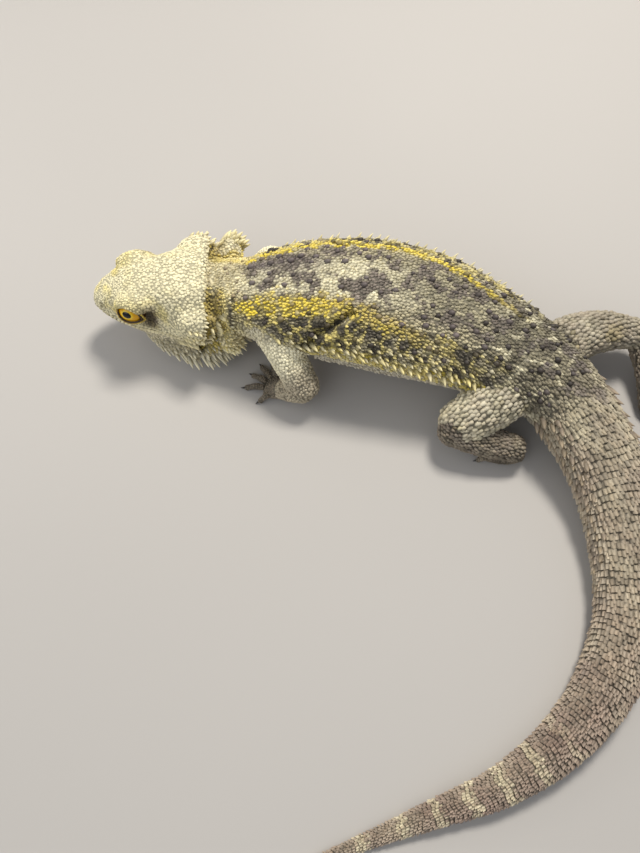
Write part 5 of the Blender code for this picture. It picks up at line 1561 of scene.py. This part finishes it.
# finishes
def eyeMaterial(label):
    material, net, shader = newMaterial("eye_" + label)
    centre, out, ahead, up = eyeAxes[label]
    place = toWorld(fromHead([centre]))[0]
    spot = net.out("ShaderNodeTexCoord", {}, {}, 3)
    away = net.out("ShaderNodeVectorMath", {"operation": "SUBTRACT"}, {0: spot, 1: tuple(place)})
    turned = {n: tuple(v @ headAxes.T) for n, v in (("ahead", ahead), ("up", up), ("out", out))}
    x, y = (net.out("ShaderNodeVectorMath", {"operation": "DOT_PRODUCT"}, {0: away, 1: turned[n]}, 1) * 1000 for n in ("ahead", "up"))
    wide = (x * x + y * y) ** 0.5
    pupil = ((x / 2.0) ** 2 + (y / 1.5) ** 2) ** 0.5
    turn = net.out("ShaderNodeMath", {"operation": "ARCTAN2"}, {0: y, 1: x})
    rays = net.out("ShaderNodeTexNoise", {"noise_dimensions": "2D"}, {
        "Vector": net.out("ShaderNodeCombineXYZ", {}, {0: turn * 5.0, 1: wide * 0.6}), "Scale": 2.2, "Detail": 4.0})
    gold = net.mixed(tint(228, 158, 6), tint(252, 208, 30), rays.between(0.35, 0.65))
    gold = net.mixed(gold, tint(236, 172, 14), wide.between(2.9, 3.3))
    gold = net.mixed(tint(250, 214, 60), gold, pupil.between(1.05, 1.5))
    # darker towards the eye's edge: partly the eye's own dark rim, partly painted shade under the lids
    gold = net.mixed(gold, tint(70, 40, 16), wide.between(4.7, 5.9))
    gold = net.mixed(tint(6, 5, 5), gold, pupil.between(0.93, 1.08))
    finish(net, shader, gold, 0.16)
    for name, value in (("Coat Weight", 0.35), ("Specular IOR Level", 0.3), ("Coat Roughness", 0.03)):
        shader.inputs[name].default_value = value
    return material


def clawMaterial():
    material, net, shader = newMaterial("claw_horn")
    streak = net.out("ShaderNodeTexNoise", {}, {"Vector": net.spot(), "Scale": 900.0, "Detail": 4.0})
    colour = net.mixed(tint(24, 19, 16), tint(74, 62, 50), streak.between(0.4, 0.8))
    finish(net, shader, colour, 0.34, (0.2, 0.0002, streak))
    return material


def rimMaterial(name, light, deep):
    material, net, shader = newMaterial(name)
    spot = net.spot()
    grain = net.out("ShaderNodeTexVoronoi", {}, {"Vector": spot, "Scale": 2200.0})
    blotch = net.out("ShaderNodeTexNoise", {}, {"Vector": spot, "Scale": 500.0, "Detail": 3.0})
    colour = net.mixed(tint(*light), tint(*deep), blotch.between(0.4, 0.7))
    colour = net.mixed(colour, tint(70, 48, 22), grain.between(0.4, 0.75) * 0.45)
    finish(net, shader, colour, 0.5, (0.4, 0.0003, 1.0 - grain))
    return material


def skinMaterial():
    material, net, shader = newMaterial("skin")
    spot = net.spot()
    colour = net.mixed(coatColour(net), coat["gap"],
                       0.68 - net.attribute("pale") * 0.4 + net.attribute("brown") * 0.3)
    grain = net.out("ShaderNodeTexVoronoi", {"feature": "DISTANCE_TO_EDGE"}, {"Vector": spot, "Scale": 1300.0})
    patches = net.out("ShaderNodeTexNoise", {}, {"Vector": spot, "Scale": 420.0, "Detail": 4.0})
    colour = net.mixed(colour, tint(40, 32, 22), (1.0 - grain.between(0.0, 0.12)) * 0.5)
    colour = net.mixed(colour, coat["pale"], patches.between(0.55, 0.8) * 0.2)
    finish(net, shader, colour, 0.7, (0.5, 0.0004, grain))
    return material


def floorMaterial():
    material, net, shader = newMaterial("studio_floor")
    mottle = net.out("ShaderNodeTexNoise", {}, {"Vector": net.spot(), "Scale": 3.0})
    finish(net, shader, net.mixed(tint(176, 171, 164), tint(186, 181, 174), mottle), 0.8)
    return material


# lid_edge: a dark ring at the lids' margin, partly their own dark edge, partly painted shade where the lids overhang
# the eye
rimLooks = {"rim": ("lid_skin", (238, 208, 92), (186, 146, 62)), "edge": ("lid_edge", (74, 54, 30), (46, 34, 22)),
            "nostril": ("nostril_skin", (224, 216, 178), (180, 168, 128))}
materials = {key: coatMaterial(**look) for key, look in coatLooks.items()}
materials.update({"skin": skinMaterial(), "claw": clawMaterial(), "eye_left": eyeMaterial("left"),
                  "eye_right": eyeMaterial("right"), **{key: rimMaterial(*look) for key, look in rimLooks.items()}})

coatPieces = layAllScales()
coatPieces += [beardSpines(), skullSpines(), *bodySpines(), lipScales()]
print("coat:", sum(len(p.data.loop_triangles) or len(p.data.polygons) for p in coatPieces), "faces in", len(coatPieces), "pieces")


def markSkin():  # the skin takes the markings of the scales that grow on it
    tree = kdOf(roots[:, 4:7])
    points = fromWorld(meshPoints(skin.data))
    near = np.array([tree.find(p)[1] for p in points])
    marks = markings(roots[near, 0].astype(int), roots[near, 1], roots[near, 2], points)
    for name in markNames:
        store = skin.data.attributes.new(name, "FLOAT", "POINT")
        store.data.foreach_set("value", marks[name].astype(np.float32))
    skin.data.materials.clear()
    skin.data.materials.append(materials["skin"])


markSkin()
claws = addPiece("claws", joinMeshes("claws", [clawMesh(toePath(*ends)) for spec in paws.values() for ends in spec["toes"]]))
moveMesh(claws.data, toWorld)
claws.data.materials.append(materials["claw"])
claws.data.shade_smooth()
rims = addPiece("lid_rims", joinMeshes("lid_rims", [lidRims(), nostrilRims()]))
for name in ("rim", "edge", "nostril"):
    rims.data.materials.append(materials[name])
perRing = ringPoints * ringSides  # the lids' rings come first: on each side the dark edge, then the beaded lid
rims.data.polygons.foreach_set("material_index", [(1, 0, 1, 0)[i // perRing] if i < 4 * perRing else 2
                                                  for i in range(len(rims.data.polygons))])
rims.data.shade_smooth()
eyes = {}
for label in ("left", "right"):
    eyes[label] = addPiece("eyeball_" + label, eyeballMesh(label))
    eyes[label].data.materials.append(materials["eye_" + label])
    eyes[label].data.shade_smooth()
    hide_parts("eye_" + label)
for piece in shapes.values():
    bpy.data.objects.remove(piece, do_unlink=True)

clawNodes = [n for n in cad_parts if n.startswith("claw_")]
fleshNodes = [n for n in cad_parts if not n.startswith(("claw_", "eye_"))]
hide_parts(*fleshNodes)
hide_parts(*clawNodes)
for piece in (skin, claws, rims, *eyes.values(), *coatPieces):
    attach(piece, "root")

# floor, light and camera
floor = addPiece("floor", loftMesh("floor", [[(-1.5, -1.5, 0), (1.5, -1.5, 0), (1.5, 1.5, 0), (-1.5, 1.5, 0)],
                                             [(-1.5, -1.5, -0.01), (1.5, -1.5, -0.01), (1.5, 1.5, -0.01), (-1.5, 1.5, -0.01)]]))
floor.data.materials.append(floorMaterial())

lights = {"key": ((0.18, 0.5, 0.85), 0.22, 9.6, (1.0, 0.97, 0.92)), "fill": ((-0.6, -0.5, 0.7), 0.9, 3.0, (0.92, 0.96, 1.0)),
          "low": ((-0.5, 0.2, 0.25), 0.4, 0.8, (1.0, 0.98, 0.95))}
for name, (spot, size, power, colour) in lights.items():
    lamp = bpy.data.lights.new(name, "AREA")
    lamp.size, lamp.energy, lamp.color = size, power, colour
    holder = bpy.data.objects.new(name, lamp)
    holder.location = spot
    holder.rotation_euler = (Vector((0, 0, 0.02)) - Vector(spot)).to_track_quat("-Z", "Y").to_euler()
    bpy.context.scene.collection.objects.link(holder)
world = bpy.data.worlds.new("studio")
world.use_nodes = True
world.node_tree.nodes["Background"].inputs[0].default_value = (0.86, 0.9, 1.0, 1.0)
world.node_tree.nodes["Background"].inputs[1].default_value = 0.34
bpy.context.scene.world = world
bpy.context.scene.view_settings.view_transform = "Standard"

view = {"spot": (-38.0, -65.5, 275.5), "tilt": 22.0, "lens": 36 * 640 / 853}
camera = bpy.data.cameras.new("camera")
camera.sensor_width, camera.lens, camera.clip_start = 36, view["lens"], 0.01
cameraHolder = bpy.data.objects.new("camera", camera)
cameraHolder.location = toWorld([view["spot"]])[0]
cameraHolder.rotation_euler = (math.radians(view["tilt"]), 0, 0)
bpy.context.scene.collection.objects.link(cameraHolder)
bpy.context.scene.camera = cameraHolder
